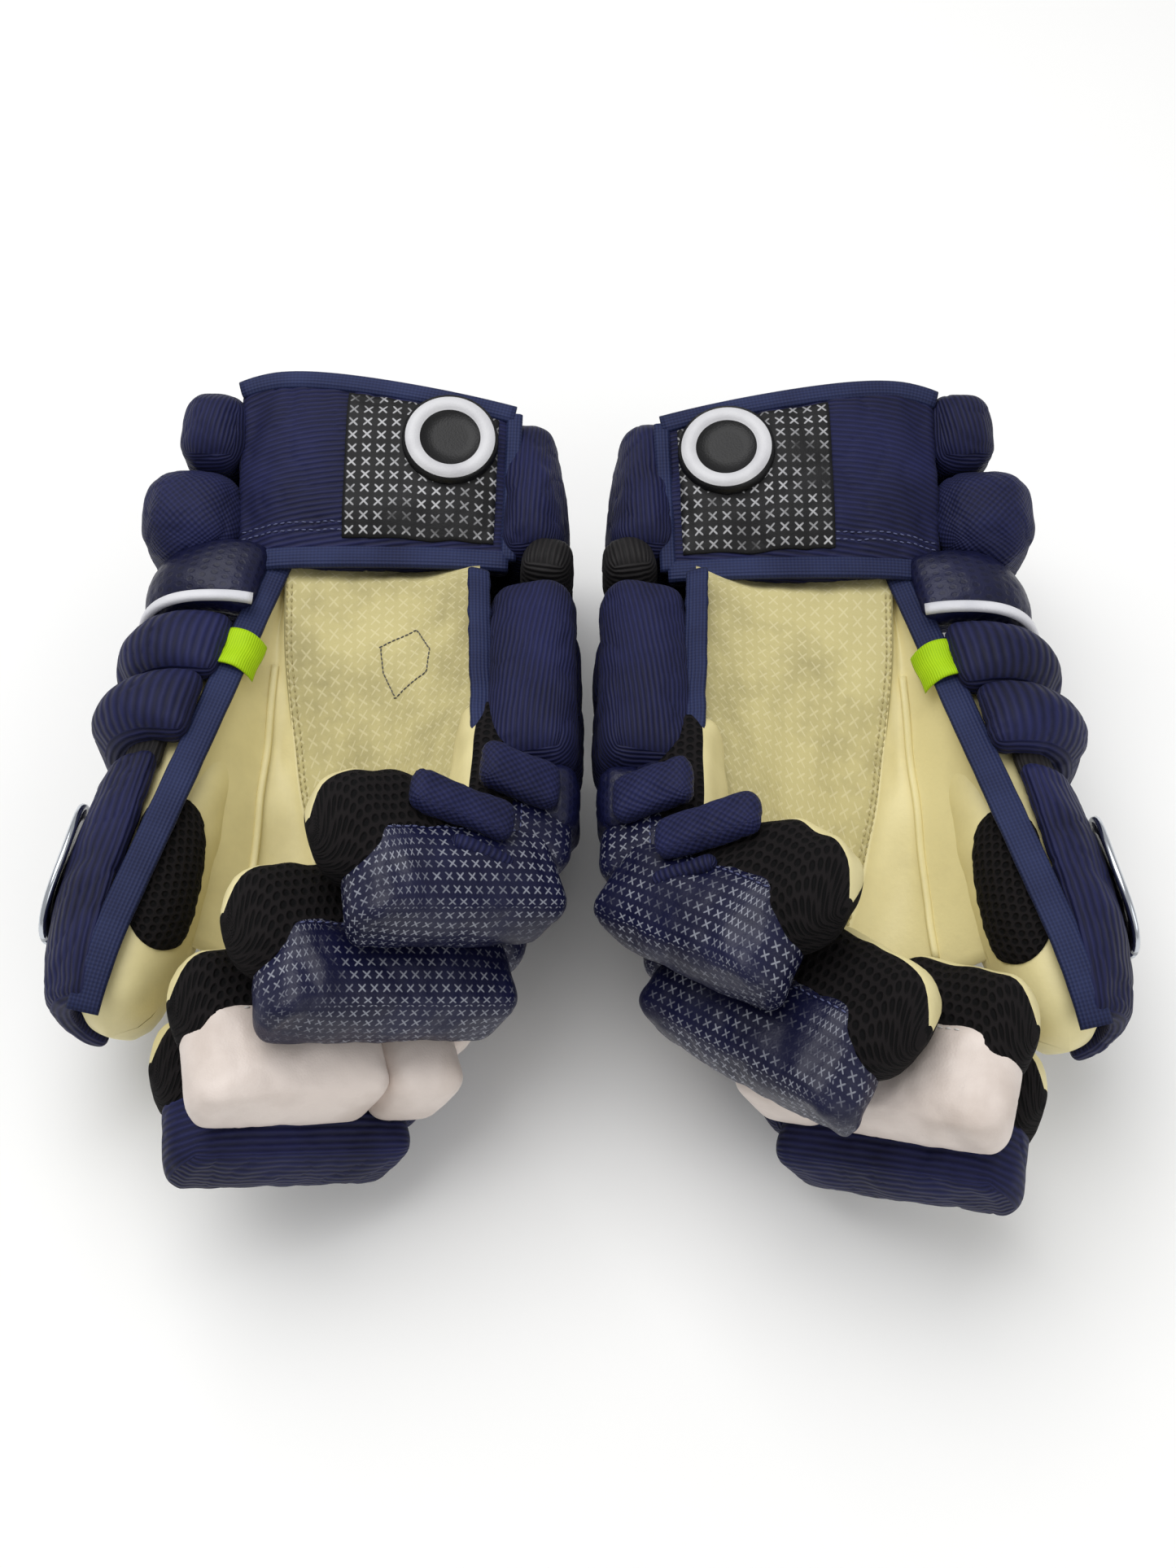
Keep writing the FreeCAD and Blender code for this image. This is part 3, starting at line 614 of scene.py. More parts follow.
def tube_patches(sections, strip=1 / 5, around=30, power=2.6):
    """A skin over sections. Each is (centre, side vector, depth vector).

    The first patch is the strip round the depth vector's side, and the second is the rest.
    """
    run = 0.0
    strips = ([], [])
    split = round(around * strip)
    for k, (centre, across, deep) in enumerate(sections):
        if k:
            run += (centre - sections[k - 1][0]).length
        girth = (across.length + deep.length) * math.pi / around
        ring = []
        for i in range(around + 1):
            t = 2 * math.pi * (i / around - strip / 2)
            c, s = math.cos(t), math.sin(t)
            square = (abs(c) ** power + abs(s) ** power) ** (-1 / power)
            ring.append((centre + deep * (c * square) + across * (s * square), (run, i * girth)))
        strips[0].append(ring[: split + 1])
        strips[1].append(ring[split:])
    return [strips[0], strips[1]]


def crinkle(patches, amount, size, seed):
    """Folds in slack cloth: points move out and in by up to amount, over folds of about this size."""
    centre_line = [sum((p for p, _ in row), Vector()) / len(row) for row in patches[1]]
    moved = []
    for rows in patches:
        moved.append([])
        for middle, row in zip(centre_line, rows):
            line = []
            for p, uv in row:
                out = (p - middle).normalized()
                bump = noise.noise(p / size + Vector((seed, 0, 0))) * amount
                line.append((p + out * bump, uv))
            moved[-1].append(line)
    return moved


def end_cap(patches, end):
    """Closes a tube's first ring (0) or last one (-1) with a fan to its middle."""
    ring = [*patches[0][end], *patches[1][end][1:]]
    middle = sum((p for p, _ in ring), Vector()) / len(ring)
    return [ring, [(middle, uv) for _, uv in ring]]


def soft_tube(side, name, patches, materials, replaced):
    """A slack tube of cloth, baked in place, that stands for one CAD node."""
    patches = [*patches, end_cap(patches, 0), end_cap(patches, -1)]
    tube = add_piece(side, name, patches, materials, pick=lambda k: min(k, len(materials) - 1))
    smooth = tube.modifiers.new("smooth", "SUBSURF")
    smooth.levels = smooth.render_levels = 1
    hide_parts(f"{side}_{replaced}")
    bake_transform(tube)


TUBE_HALF = 13.0
for side in SIGN:
    for index, (finger, length, reach) in enumerate(FINGERS):
        base = segment_frame(side, index, "base")
        tip = segment_frame(side, index, "tip")
        sections = []
        for i in range(15):
            x = -20 + (length - 8 + 20) * i / 14
            sections.append((in_frame(base, x, 0, 1), base[2] * TUBE_HALF, base[3] * 12.5))
        soft_tube(
            side, f"{finger}_base_tube", crinkle(tube_patches(sections), 1.6, 8.0, index),
            [smooth_leather, mesh_cloth],
            f"{finger}_base_stall",
        )
        sections = []
        bend_from = in_frame(base, length - 16, 0, 1.5)
        bend_mid = in_frame(base, length + 1, 0, 3)
        bend_to = in_frame(tip, 12, 0, 4)
        for i in range(12):
            t = i / 11
            centre = bend_from * (1 - t) ** 2 + bend_mid * 2 * t * (1 - t) + bend_to * t**2
            deep = base[3].slerp(tip[3], t)
            sections.append(
                (centre, base[2] * (12.8 + 0.4 * t), deep * (12.0 + t - 1.6 * math.sin(math.pi * t))),
            )
        for i in range(1, 17):
            x = 12 + (reach - 9) * i / 16
            close = max(0.0, (x - (reach - 13)) / 16.05)
            small = math.sqrt(max(0.0, 1 - min(close, 1.0) ** 2.4))
            grow = min(1.0, (x - 12) / 20)
            swell = 1 + 0.12 * math.sin(math.pi * min(1.0, x / reach)) ** 2
            wide = base[2] * (TUBE_HALF * small + 0.02)
            deep = tip[3] * ((TUBE_HALF + 5.5 * grow) * small * swell + 0.02)
            sections.append((in_frame(tip, x, 0, 4 + 5.5 * grow), wide, deep))
        soft_tube(
            side, f"{finger}_tip_tube", crinkle(tube_patches(sections), 1.8, 7.0, index + 7),
            [smooth_leather, mesh_cloth],
            f"{finger}_tip_stall",
        )

# ---- Palm ---------------------------------------------------------------------------------------
# The palm is one piece of cream suede, pressed with a faint print and dark from a stick's shaft.
# Smooth leather joins it to the thumb, and a fine black mesh lining closes the hand behind it.

SEAM = -0.70
SUEDE_END = 1.1


def palm_point(side, share, lateral, lift=0.0):
    """A point of the palm: hollow in the middle, with folds that run from the thumb to the finger roots."""
    hollow = 5.5 * (1 - lateral**2) * math.sin(math.pi * min(1.0, max(0.0, share)) ** 0.8)
    fold = 1.6 * noise.noise(Vector((share * 5.0 + lateral * 1.5, lateral * 3.0 - share, 4.0)))
    ripple = 0.8 * math.sin(22 * share + 5 * lateral) * max(0.0, share - 0.5) * 2
    p = on_shell(side, share, lateral, 20.0 - hollow + fold + ripple + lift)
    edge = Vector((-38, 64, 101)).lerp(Vector((-32.5, -22, 103)), share / 1.05)
    pull = min(1.0, max(0.0, (lateral - 0.2) / 0.8)) ** 2
    return p + (edge - on_shell(side, share, 1.0, 20.0)) * pull - Vector((0, 0, 55.0 * max(0.0, -share)))


def slab(point, across, down, thick):
    """A sheet with thickness. point(i, j, lift) is its surface for i and j from 0 to 1."""
    top, under = [], []
    run = 0.0
    for i in range(across + 1):
        width = 0.0
        rows = ([], [])
        for j in range(down + 1):
            p = point(i / across, j / down, 0.0)
            if j:
                width += (p - rows[0][-1][0]).length
            rows[0].append((p, (run, width)))
            rows[1].append((point(i / across, j / down, -thick), (run, width)))
        if i:
            run += (rows[0][down // 2][0] - top[-1][down // 2][0]).length
            rows = tuple([(p, (run, uv[1])) for p, uv in row] for row in rows)
        top.append(rows[0])
        under.append(rows[1])
    edges = [
        [[a, b] for a, b in zip(top[0], under[0])],
        [[a, b] for a, b in zip(top[-1], under[-1])],
        [[a[0], b[0]] for a, b in zip(top, under)],
        [[a[-1], b[-1]] for a, b in zip(top, under)],
    ]
    return [top, under, *edges]


def ribbon(side, name, path, normal, width, thick, materials):
    """A flat tape along a path of points. normal(i) is its upper side at point i."""
    rows = []
    run = 0.0
    count = len(path)
    for i, p in enumerate(path):
        if i:
            run += (p - path[i - 1]).length
        along = (path[min(i + 1, count - 1)] - path[max(i - 1, 0)]).normalized()
        up = normal(i)
        across = up.cross(along).normalized()
        up = along.cross(across).normalized()
        outline = []
        for k in range(15):
            t = 2 * math.pi * k / 14
            c, s = math.cos(t), math.sin(t)
            square = (abs(c) ** 3.4 + abs(s) ** 3.4) ** (-1 / 3.4)
            spread = width(i) if callable(width) else width
            point = p + across * (c * square * spread / 2) + up * (s * square * thick / 2)
            outline.append((point, (run, c * square * spread / 2 + (0 if s >= 0 else spread))))
        rows.append(outline)
    caps = []
    for end in (0, -1):
        middle = sum((p for p, _ in rows[end][:-1]), Vector()) / 14
        caps.append([rows[end], [(middle, uv) for _, uv in rows[end]]])
    return add_piece(side, name, [rows, *caps], materials)


def thicken(piece, wall):
    """Gives an open cloth skin a wall of this many millimetres, as part of its mesh."""
    thick = piece.modifiers.new("thick", "SOLIDIFY")
    thick.thickness = wall * MM
    shaped = bpy.data.meshes.new_from_object(piece.evaluated_get(bpy.context.evaluated_depsgraph_get()))
    piece.modifiers.clear()
    piece.data = shaped


def finish_soft(side, piece, body):
    """Parents a shaped soft piece to its one body, or bakes it in place when it lies across two bodies."""
    if isinstance(body, str):
        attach(piece, f"{side}_{body}")
    else:
        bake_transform(piece)


def thumb_frame(side):
    turn = math.radians(-5.5)
    along = Vector((math.sin(turn), -math.cos(turn), 0))
    inward = Vector((math.cos(turn), math.sin(turn), 0))
    return joint_point(side, "thumb_root"), along, inward, Vector((0, 0, 1))


THUMB_MIDDLE = 58.0
THUMB_END = 150.0


def thumb_skin(side, along, angle, lift=0.0):
    """A point on the thumb's leather tube. angle is 0 on the palm's side, 90 on top and 180 outside."""
    late = max(0.0, (along - 105) / (THUMB_END - 105))
    half_in = 17.5 * (1 - 0.45 * late**2)
    half_up = 22.5 * (1 - 0.35 * late**2)
    centre = 9.0 - 0.045 * along
    t = math.radians(angle)
    c, s = math.cos(t), math.sin(t)
    square = (abs(c) ** 2.3 + abs(s) ** 2.3) ** (-1 / 2.3)
    return in_frame(
        thumb_frame(side), along, centre + c * square * (half_in + lift), s * square * (half_up + lift)
    )


def tape_point(side, along, lift=0.0, aside=0.0):
    """The line of the thumb's edge tape, from the cuff to the thumb's tip."""
    share = max(0.0, (along + 26) / 174)
    inward = 22.0 - 0.155 * along + aside
    drop = 7.0 * max(0.0, (along - 118) / 32) ** 2
    return in_frame(thumb_frame(side), along, inward, 25.0 - 1.5 * share - drop + lift)


for side in SIGN:
    suede_sheet = add_piece(
        side, "palm_suede",
        slab(
            lambda i, j, lift: palm_point(
                side, -0.13 + (SUEDE_END + 0.13) * i, SEAM + (0.99 - SEAM) * j, lift,
            ),
            64, 44, 1.6,
        ),
        [suede],
    )
    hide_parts(f"{side}_palm")
    at_cuff, at_palm = palm_point(side, -0.1, 0.0), palm_point(side, 0.02, 0.0)
    finish_soft(side, suede_sheet, ("cuff", "hand", at_cuff, at_palm))

    def crotch_point(i, j, lift):
        """Leather from the palm's seam, down into the fold beside the thumb and up to the thumb's tape."""
        share = -0.13 + 1.19 * i
        seam = palm_point(side, share, SEAM + 0.02, 0.5)
        edge = tape_point(side, -36 + 152 * i, -1.0, 2.0)
        dip = 3.0 + 17.0 * i**1.4
        middle = (seam + edge) / 2 - Vector((0, 0, 2 * dip)) + Vector((4 * i, 0, 0))
        crease = 2.2 * noise.noise(Vector((i * 7.0, j * 3.0, 2.0)))
        curve = seam * (1 - j) ** 2 + middle * 2 * j * (1 - j) + edge * j**2
        return curve + Vector((0, 0, lift + crease * math.sin(math.pi * j)))

    crotch = add_piece(side, "thumb_crotch", slab(crotch_point, 40, 26, 1.4), [smooth_leather])
    seam_at = palm_point(side, 0.3, SEAM)
    thumb_at = tape_point(side, 25)
    finish_soft(side, crotch, (
        "hand", "thumb_base", seam_at, Vector((thumb_at.x, seam_at.y, seam_at.z)),
    ))

    path = [crotch_point(0.3 + 0.66 * k / 40, 0.42 + 0.16 * k / 40, 0.9) for k in range(41)]
    welt = ribbon(side, "crotch_welt", path, lambda i: Vector((0, 0, 1)), 2.6, 2.2, [smooth_leather])
    finish_soft(
        side, welt, (
            "hand", "thumb_base", seam_at, Vector((thumb_at.x, seam_at.y, seam_at.z)),
        )
    )

    sections = []
    for i in range(30):
        share = -0.06 + 1.11 * i / 29
        _, _, a, n, half = station(side, share)
        funnel = max(0.0, 1 - (share + 0.06) / 0.2) ** 2
        centre = on_shell(side, share, 0.0, -4.5)
        centre = centre.lerp(Vector((-83, centre.y, 48)), funnel)
        wide = (a - station(side, share)[1] * (share * 0.44)) * ((half + 1.0) * (1 - funnel) + 46.0 * funnel)
        sections.append((centre, wide, n * ((12.5 - 3.0 * share) * (1 - funnel) + 29.0 * funnel)))
    patches = tube_patches(sections, power=3.2, around=40)
    lining = add_piece(side, "lining", [*patches, end_cap(patches, -1)], [mesh_cloth])
    thicken(lining, 1.4)
    finish_soft(side, lining, "hand")

# ---- Thumb --------------------------------------------------------------------------------------
# A leather tube holds the thumb, with a mesh window on the palm's side. Ribbed nylon covers its foam guards.
# A webbing tape closes the edge, and carries a folded bright tag.

binding_web = woven("navy_webbing", "#131838", "#2E3860", 1.3, 90, 0.5, cross=0.35)
black_rib = woven("black_ribbed_nylon", "#0C0B0C", "#262324", 2.2, 90, 0.6)
tag_cloth = woven("lime_tag_cloth", "#93BE00", "#B4DC10", 0.9, 0, 0.3)
white_piping = coated("white_piping", "#DADADF", "#B9BAC2", 0.4)
black_plate, _, _ = new_material("black_gloss_plate", 0.18, Base_Color=linear("#0B0B10"), Coat_Weight=0.6)
chrome, _, _ = new_material(
    "hologram_chrome", 0.16, Base_Color=linear("#C6CBD2"), Metallic=1.0, Thin_Film_Thickness=420.0
)


def arch_pad(side, name, body, along, angles, thick, radius, crown, materials, slot, bulge=0.0, **more):
    """A foam guard bent round the outside of the thumb, between two distances along it and two angles."""
    length = along[1] - along[0]
    arc = math.radians(angles[1] - angles[0]) * 24.0

    def shape(p):
        i = p.x / length + 0.5
        j = p.y / arc + 0.5
        lift = p.z + thick / 2 + 0.6 + bulge * math.sin(math.pi * min(1, max(0, i))) * (1 - (2 * j - 1) ** 2)
        return thumb_skin(side, along[0] + length * i, angles[0] + (angles[1] - angles[0]) * j, lift)

    return add_pad(side, name, body, (length, arc, thick), radius, crown, materials, shape, slot, **more)


for side in SIGN:
    frame_t = thumb_frame(side)
    middle_start, middle_end = in_frame(
        frame_t, THUMB_MIDDLE - 10, 0, 0,
    ), in_frame(frame_t, THUMB_MIDDLE + 8, 0, 0)
    across_middle = ("thumb_base", "thumb_tip", middle_start, middle_end)

    rows = []
    cells = 44
    for i in range(37):
        along = 2 + (THUMB_END - 2) * i / 36
        close = max(0.0, (along - (THUMB_END - 12)) / 12)
        small = math.sqrt(max(0.0, 1 - close**2.2))
        middle = (thumb_skin(side, along, 0) + thumb_skin(side, along, 180)) / 2
        row = []
        for k in range(cells + 1):
            angle = 360 * k / cells
            p = thumb_skin(side, along, angle, 0.9 * noise.noise(Vector((along / 14, angle / 40, 3.0))))
            row.append((middle + (p - middle) * max(small, 0.001), (along, angle * 0.34)))
        rows.append(row)
    tube = add_piece(side, "thumb_leather", [rows], [smooth_leather])
    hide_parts(f"{side}_thumb_stall", f"{side}_thumb_gusset")
    finish_soft(side, tube, across_middle)

    def window_point(i, j, lift):
        """The mesh window: a long rounded patch let into the leather."""
        u, v = 2 * i - 1, 2 * j - 1
        round_off = math.sqrt(1 - 0.42 * v * v)
        along = 98 + 27 * u * round_off
        angle = 60 + 41 * v * math.sqrt(1 - 0.42 * u * u) - 10 * u
        edge = max(abs(u), abs(v))
        pile = 0.5 * noise.noise(Vector((along / 3, angle / 5, 1.0)))
        pile += 0.25 * noise.noise(Vector((along, angle, 5.0)))
        return thumb_skin(side, along, angle, 1.4 * (1 - edge**6) + 0.6 + pile + lift)

    window = add_piece(side, "thumb_window", slab(window_point, 40, 30, 1.4), [mesh_cloth])
    finish_soft(side, window, "thumb_tip")

    roll = arch_pad(
        side, "thumb_root_roll", "thumb_base", (-1, 27), (72, 236), 12, 5.5, (0.0, 0.0, 0.1), [ribbed],
        "navy_fabric", bulge=6.0,
    )
    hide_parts(f"{side}_thumb_roll")
    arch_pad(
        side, "thumb_knuckle_roll", "thumb_base", (25, 53), (80, 238), 12, 5.5, (0.0, 0.0, 0.1), [ribbed],
        "navy_fabric", bulge=7.0,
    )
    arch_pad(
        side, "thumb_gap_rib", across_middle, (47, 62), (100, 215), 5, 2.0, (0, 0, 0), [black_rib],
        "black_mesh",
    )
    casing = arch_pad(
        side, "thumb_casing_roll", "thumb_tip", (57, 147), (100, 244), 8, 3.5, (0.0, 0.0, 0.1), [ribbed],
        "navy_fabric", bulge=1.5,
    )
    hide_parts(f"{side}_thumb_casing")

    steps = 60
    path = [tape_point(side, -28 + 178 * i / steps, 2.8) for i in range(steps + 1)]
    wave = [0.5 * noise.noise(Vector((i / 3, 1.0, SIGN[side]))) for i in range(steps + 1)]
    tape = ribbon(
        side, "thumb_tape", path, lambda i: Vector((0.1, -0.3, 1)), lambda i: 10.5 + wave[i], 3.0,
        [binding_web],
    )
    finish_soft(side, tape, across_middle)

    ring_path, plate_rows = [], []
    for i in range(49):
        t = 2 * math.pi * i / 48
        ring_path.append((95 + 24 * math.cos(t), 172 + 27 * math.sin(t)))

    def rim_up(i):
        """Away from the thumb, at point i of the oval."""
        return thumb_skin(side, *ring_path[i], 12.0) - thumb_skin(side, *ring_path[i], 8.0)

    oval = [thumb_skin(side, x, t, 13.4) for x, t in ring_path]
    rim = ribbon(side, "thumb_oval", oval, rim_up, 3.6, 2.4, [chrome])
    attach(rim, f"{side}_thumb_tip")
    for k in range(7):
        row = []
        for x, t in ring_path:
            share = k / 6
            spot = thumb_skin(side, 95 + (x - 95) * share, 172 + (t - 172) * share, 13.0)
            row.append((spot, (x * share, t * share)))
        plate_rows.append(row)
    plate = add_piece(side, "thumb_plate", [plate_rows], [black_plate])
    thick = plate.modifiers.new("thick", "SOLIDIFY")
    thick.thickness = 1.0 * MM
    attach(plate, f"{side}_thumb_tip")

    def tag_point(i, j, lift):
        """A ribbon folded over the tape: i runs across the tape and j along the thumb."""
        arch = math.sin(math.pi * i)
        along = 6 + 15 * j + 3 * (i - 0.5)
        wave = 0.5 * math.sin(7 * j + 3 * i)
        return tape_point(
            side, along, 4.6 + 2.4 * arch**0.5 - 5.0 * abs(2 * i - 1) ** 3 + wave + lift, -9.0 + 17 * i,
        )

    tag = add_piece(side, "thumb_tag", slab(tag_point, 16, 12, 0.9), [tag_cloth])
    finish_soft(side, tag, "thumb_base")

    arch_pad(
        side, "wrist_roll", "hand", (-33, -4), (62, 232), 13, 5.0, (0.0, 0.0, 0.1), [dotted],
        "navy_coated", bulge=3.0,
    )
    path = [thumb_skin(side, -2.5 - 3 * (2 * i / 40 - 1) ** 2, 66 + 160 * i / 40, 14.8) for i in range(41)]

    def piping_up(i):
        """Away from the thumb, at point i of the piping."""
        turn = 66 + 160 * i / 40
        return thumb_skin(side, -2.5, turn, 20) - thumb_skin(side, -2.5, turn, 8)

    piping = ribbon(side, "white_piping", path, piping_up, 4.2, 3.0, [white_piping])
    finish_soft(side, piping, "hand")

# ---- Little-finger side -------------------------------------------------------------------------
# A long foam roll guards the edge of the hand, next to a frayed webbing edge on the palm.
# Small cushions carry on over the side of the little finger.


def line_pad(side, name, body, line, size, radius, cover, slot, lean=0.0, bend=0.0):
    """A foam roll laid along a straight line. lean tips its outer side down, and bend arches it."""
    start, end = Vector(line[0]), Vector(line[1])
    along = (end - start).normalized()
    tilt = math.radians(lean)
    level = Vector((-along.y, along.x, 0)).normalized()
    up = level.cross(along)
    if up.z < 0:
        up, level = -up, -level
    across, rise = level * math.cos(tilt) - up * math.sin(tilt), up * math.cos(tilt) + level * math.sin(tilt)
    length = (end - start).length

    def shape(p):
        arch = bend * (1 - (2 * p.x / length) ** 2)
        return (start + end) / 2 + along * p.x + across * p.y + rise * (p.z + arch)

    return add_pad(side, name, body, (length, *size), radius, (0.03, 0.06, 0.1), [cover], shape, slot)


for side in SIGN:
    roll = line_pad(
        side, "edge_roll", "hand", ((-19, 62, 92), (-18, -17, 97)), (29, 24), 9.0, twill, "navy_fabric",
        lean=14.0, bend=3.0,
    )
    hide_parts(f"{side}_side_roll")
    line_pad(
        side, "edge_under_roll", "hand", ((-16, 58, 70), (-14, -10, 74)), (24, 28), 9.0, twill, "navy_fabric",
    )
    line_pad(
        side, "edge_knuckle_panel", "hand", ((-12, -14, 90), (-12, -38, 86)), (17, 30), 6.0, dotted,
        "navy_coated",
    )
    line_pad(
        side, "edge_low_panel", "hand", ((-17, 52, 45), (-18, -12, 50)), (24, 26), 9.0, dotted, "navy_coated"
    )

    path = [palm_point(side, -0.02 + 1.06 * i / 50, 0.985, 1.6) for i in range(51)]
    wave = [0.9 * noise.noise(Vector((i / 2.5, 5.0, SIGN[side]))) for i in range(51)]
    edge = ribbon(
        side, "palm_edge_tape", path, lambda i: Vector((0.25, 0, 1)), lambda i: 8.0 + wave[i], 2.8,
        [binding_web],
    )
    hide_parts(f"{side}_palm_binding")
    finish_soft(side, edge, "hand")

    little = segment_frame(side, 3, "base")
    for name, low, high, cover in (
        ("cushion_large", (7, 13.6, -15), (25, 22.5, 13), knit),
        ("cushion_small", (29, 13.0, 0), (44, 21.5, 35), knit),
        ("cushion_strip", (45, 12.0, -4), (52.5, 17.0, 20), twill),
    ):
        frame_pad(
            side, name, "little_base", little, low, high, 4.0, (0.03, 0.12, 0.03), [cover], "navy_fabric",
        )

# ---- Back of the hand ---------------------------------------------------------------------------
# Three foam rolls lie across the back of the hand, one behind the other: the middle one is embossed, the
# others twill.

for side in SIGN:
    spans = ((0.0, 0.31), (0.325, 0.64), (0.655, 0.98))
    for number, (low, high) in enumerate(spans):

        def back_shape(p):
            share = low + (high - low) * (p.x / 32 + 0.5)
            lateral = p.y / 100 * 2.06 + 0.02
            return on_shell(side, share, lateral, (p.z - 26.0) * (1.15 if share > 0.5 else 1.0))

        roll = add_pad(
            side, f"back_roll_{number + 1}", "hand", (32, 100, 17), 6.0, (0.0, 0.0, 0.1),
            [dotted if number == 1 else twill], back_shape, "navy_coated",
        )
        if number == 0:
            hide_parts(f"{side}_back_rolls", f"{side}_gussets")

# ---- Cuff ---------------------------------------------------------------------------------------
# The cuff's palm side is one flat twill panel with a taped edge, and its other sides are foam rolls.
# A black woven patch with white crosses and a bare round badge is sewn to the panel.

for side in SIGN:
    low, high = node_box(side, "cuff_panel")
    wide, deep = high.x - low.x, high.y - low.y
    lift = 24.0

    def panel_point(i, j, up):
        """The panel's upper face: i from the thumb side, j from the wrist to the mouth."""
        x = low.x + 1 + (wide + 4) * i - 2.0 * i * (1 - j)
        y = low.y - 1 + (deep + 1) * j - 17.0 * j * max(0.0, i - 0.12) ** 1.3 - 4 * j * (1 - i) ** 6
        fall = 3.0 * i**4 + 5.0 * (1 - i) ** 8
        return Vector((x, y, low.z + 13.0 + lift * j - 4.5 * j * i - fall + up))

    def panel_shape(p):
        i, j = p.x / 100 + 0.5, p.y / 66 + 0.5
        return panel_point(i, j, p.z - 6.0)

    panel = add_pad(
        side, "cuff_panel_pad", "cuff", (100, 66, 12), 3.5, (0.0, 0.0, 0.25), [twill], panel_shape,
        "navy_fabric", fill=0.7, step=2.4,
    )
    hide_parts(f"{side}_cuff_panel")

    for name, line, width in (
        ("cuff_mouth_tape", [(k / 40, 1.0) for k in range(41)], 7.0),
        ("cuff_wrist_tape", [(k / 40, 0.0) for k in range(41)], 8.5),
        ("cuff_little_tape", [(1.0, k / 30) for k in range(31)], 6.0),
    ):
        path = [panel_point(i, j, -0.6) for i, j in line]
        tape = ribbon(side, name, path, lambda i: Vector((0, -0.25, 1)), width, 3.4, [binding_web])
        finish_soft(side, tape, "cuff")

    for name, line, size, radius, cover, node in (
        ("cuff_mouth_roll", ((-141, 123, 76), (-139, 152, 84)), (24, 66), 9.0, twill, None),
        ("cuff_knit_roll", ((-148, 86, 62), (-146, 122, 68)), (37, 76), 13.0, knit, "cuff_thumb_rolls"),
        ("cuff_little_pad", ((-20, 84, 60), (-25, 143, 66)), (24, 78), 10.0, twill, "cuff_little_roll"),
        ("cuff_back_wrist_roll", ((-82, 84, 10), (-82, 115, 10)), (112, 19), 8.0, twill, "cuff_back_rolls"),
        ("cuff_back_mouth_roll", ((-82, 117, 10), (-82, 147, 10)), (110, 19), 8.0, twill, None),
    ):
        roll = line_pad(side, name, "cuff", line, size, radius, cover, "navy_fabric")
        if node:
            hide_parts(f"{side}_{node}")
    line_pad(
        side, "cuff_side_mesh", "hand", ((-17, 66, 78), (-14, 84, 74)), (18, 44), 6.0, black_rib, "black_mesh"
    )

    sections = []
    for i in range(14):
        t = i / 13
        sections.append(
            (Vector((-83, 70 + 20 * t, 48)), Vector((48 + 2 * t, 0, 0)), Vector((0, 0, 30 + 3 * t))),
        )
    elastic = add_piece(
        side, "wrist_elastic", tube_patches(sections, power=3.6, around=48), [black_rib, black_rib],
    )
    thicken(elastic, 1.6)
    finish_soft(side, elastic, ("hand", "cuff", Vector((-83, 74, 60)), Vector((-83, 84, 60))))

    sections = []
    for i in range(20):
        t = i / 19
        rise = Vector((0, -4.0 * t, 8.0 * t))
        sections.append((
            Vector((-83, 82 + 62 * t, 54)) + rise,
            Vector((49, -6 * t, 0)),
            Vector((0, -3 * t, 33 + 7.0 * t)),
        ))
    sleeve = add_piece(
        side, "cuff_lining", tube_patches(sections, power=3.6, around=48), [mesh_cloth, mesh_cloth],
    )
    thicken(sleeve, 2.0)
    finish_soft(side, sleeve, "cuff")

# ---- Puffing the pads ---------------------------------------------------------------------------
# Every pad is a sewn cover over foam: its seams hold still and the cloth between them is blown out a little.
# One cloth simulation runs for all of them, and each point may move only so far.

CAP = 2.2
for piece, *_ in PADS:
    group = piece.vertex_groups.new(name="seams")
    marks = piece.data.attributes["seam"].data
    group.add([k for k, mark in enumerate(marks) if mark.value > 0.5], 1.0, "REPLACE")
    cloth = piece.modifiers.new("cloth", "CLOTH")
    cloth.settings.effector_weights.gravity = 0
    cloth.settings.use_pressure = True
    cloth.settings.uniform_pressure_force = 4.0
    cloth.settings.vertex_group_mass = "seams"
    cloth.settings.shrink_min = -0.012
    cloth.settings.quality = 4
    cloth.collision_settings.use_collision = False
    cloth.collision_settings.use_self_collision = False
for number in range(1, 21):
    scene.frame_set(number)
depsgraph = bpy.context.evaluated_depsgraph_get()
for piece, *_ in PADS:
    puffed = piece.evaluated_get(depsgraph).data.vertices
    targets = [(piece.data.vertices[k].co.copy(), vert.co.copy()) for k, vert in enumerate(puffed)]
    piece.modifiers.clear()
    for vert, (before, after) in zip(piece.data.vertices, targets):
        move = after - before
        if move.length > CAP * MM:
            move *= CAP * MM / move.length
        vert.co = before + move
scene.frame_set(1)

for number, (piece, side, body, slot, fill, wrinkle) in enumerate(PADS):
    smooth = piece.modifiers.new("smooth", "SUBSURF")
    smooth.levels = smooth.render_levels = 1
    shaped = bpy.data.meshes.new_from_object(piece.evaluated_get(bpy.context.evaluated_depsgraph_get()))
    piece.modifiers.clear()
    piece.data = shaped
    normals = [n.vector.copy() for n in shaped.vertex_normals]
    for vert, normal in zip(shaped.vertices, normals):
        place = vert.co / MM / 9 + Vector((number, 0, 0))
        slow = 2.2 * noise.noise(vert.co / MM / 24 + Vector((number, 7, 0)))
        crease = 14.0 * max(0.0, 0.09 - abs(noise.noise(vert.co / MM / 13 + Vector((3, number, 5)))))
        vert.co += normal * (
            slow + noise.noise(place) + 0.5 * noise.noise(place * 2.3) - crease
        ) * wrinkle * MM
    finish_soft(side, piece, body)

# ---- Cuff patch and badge -----------------------------------------------------------------------
# A black woven patch with white crosses lies on the cuff's panel, and a bare round badge is stitched to it.

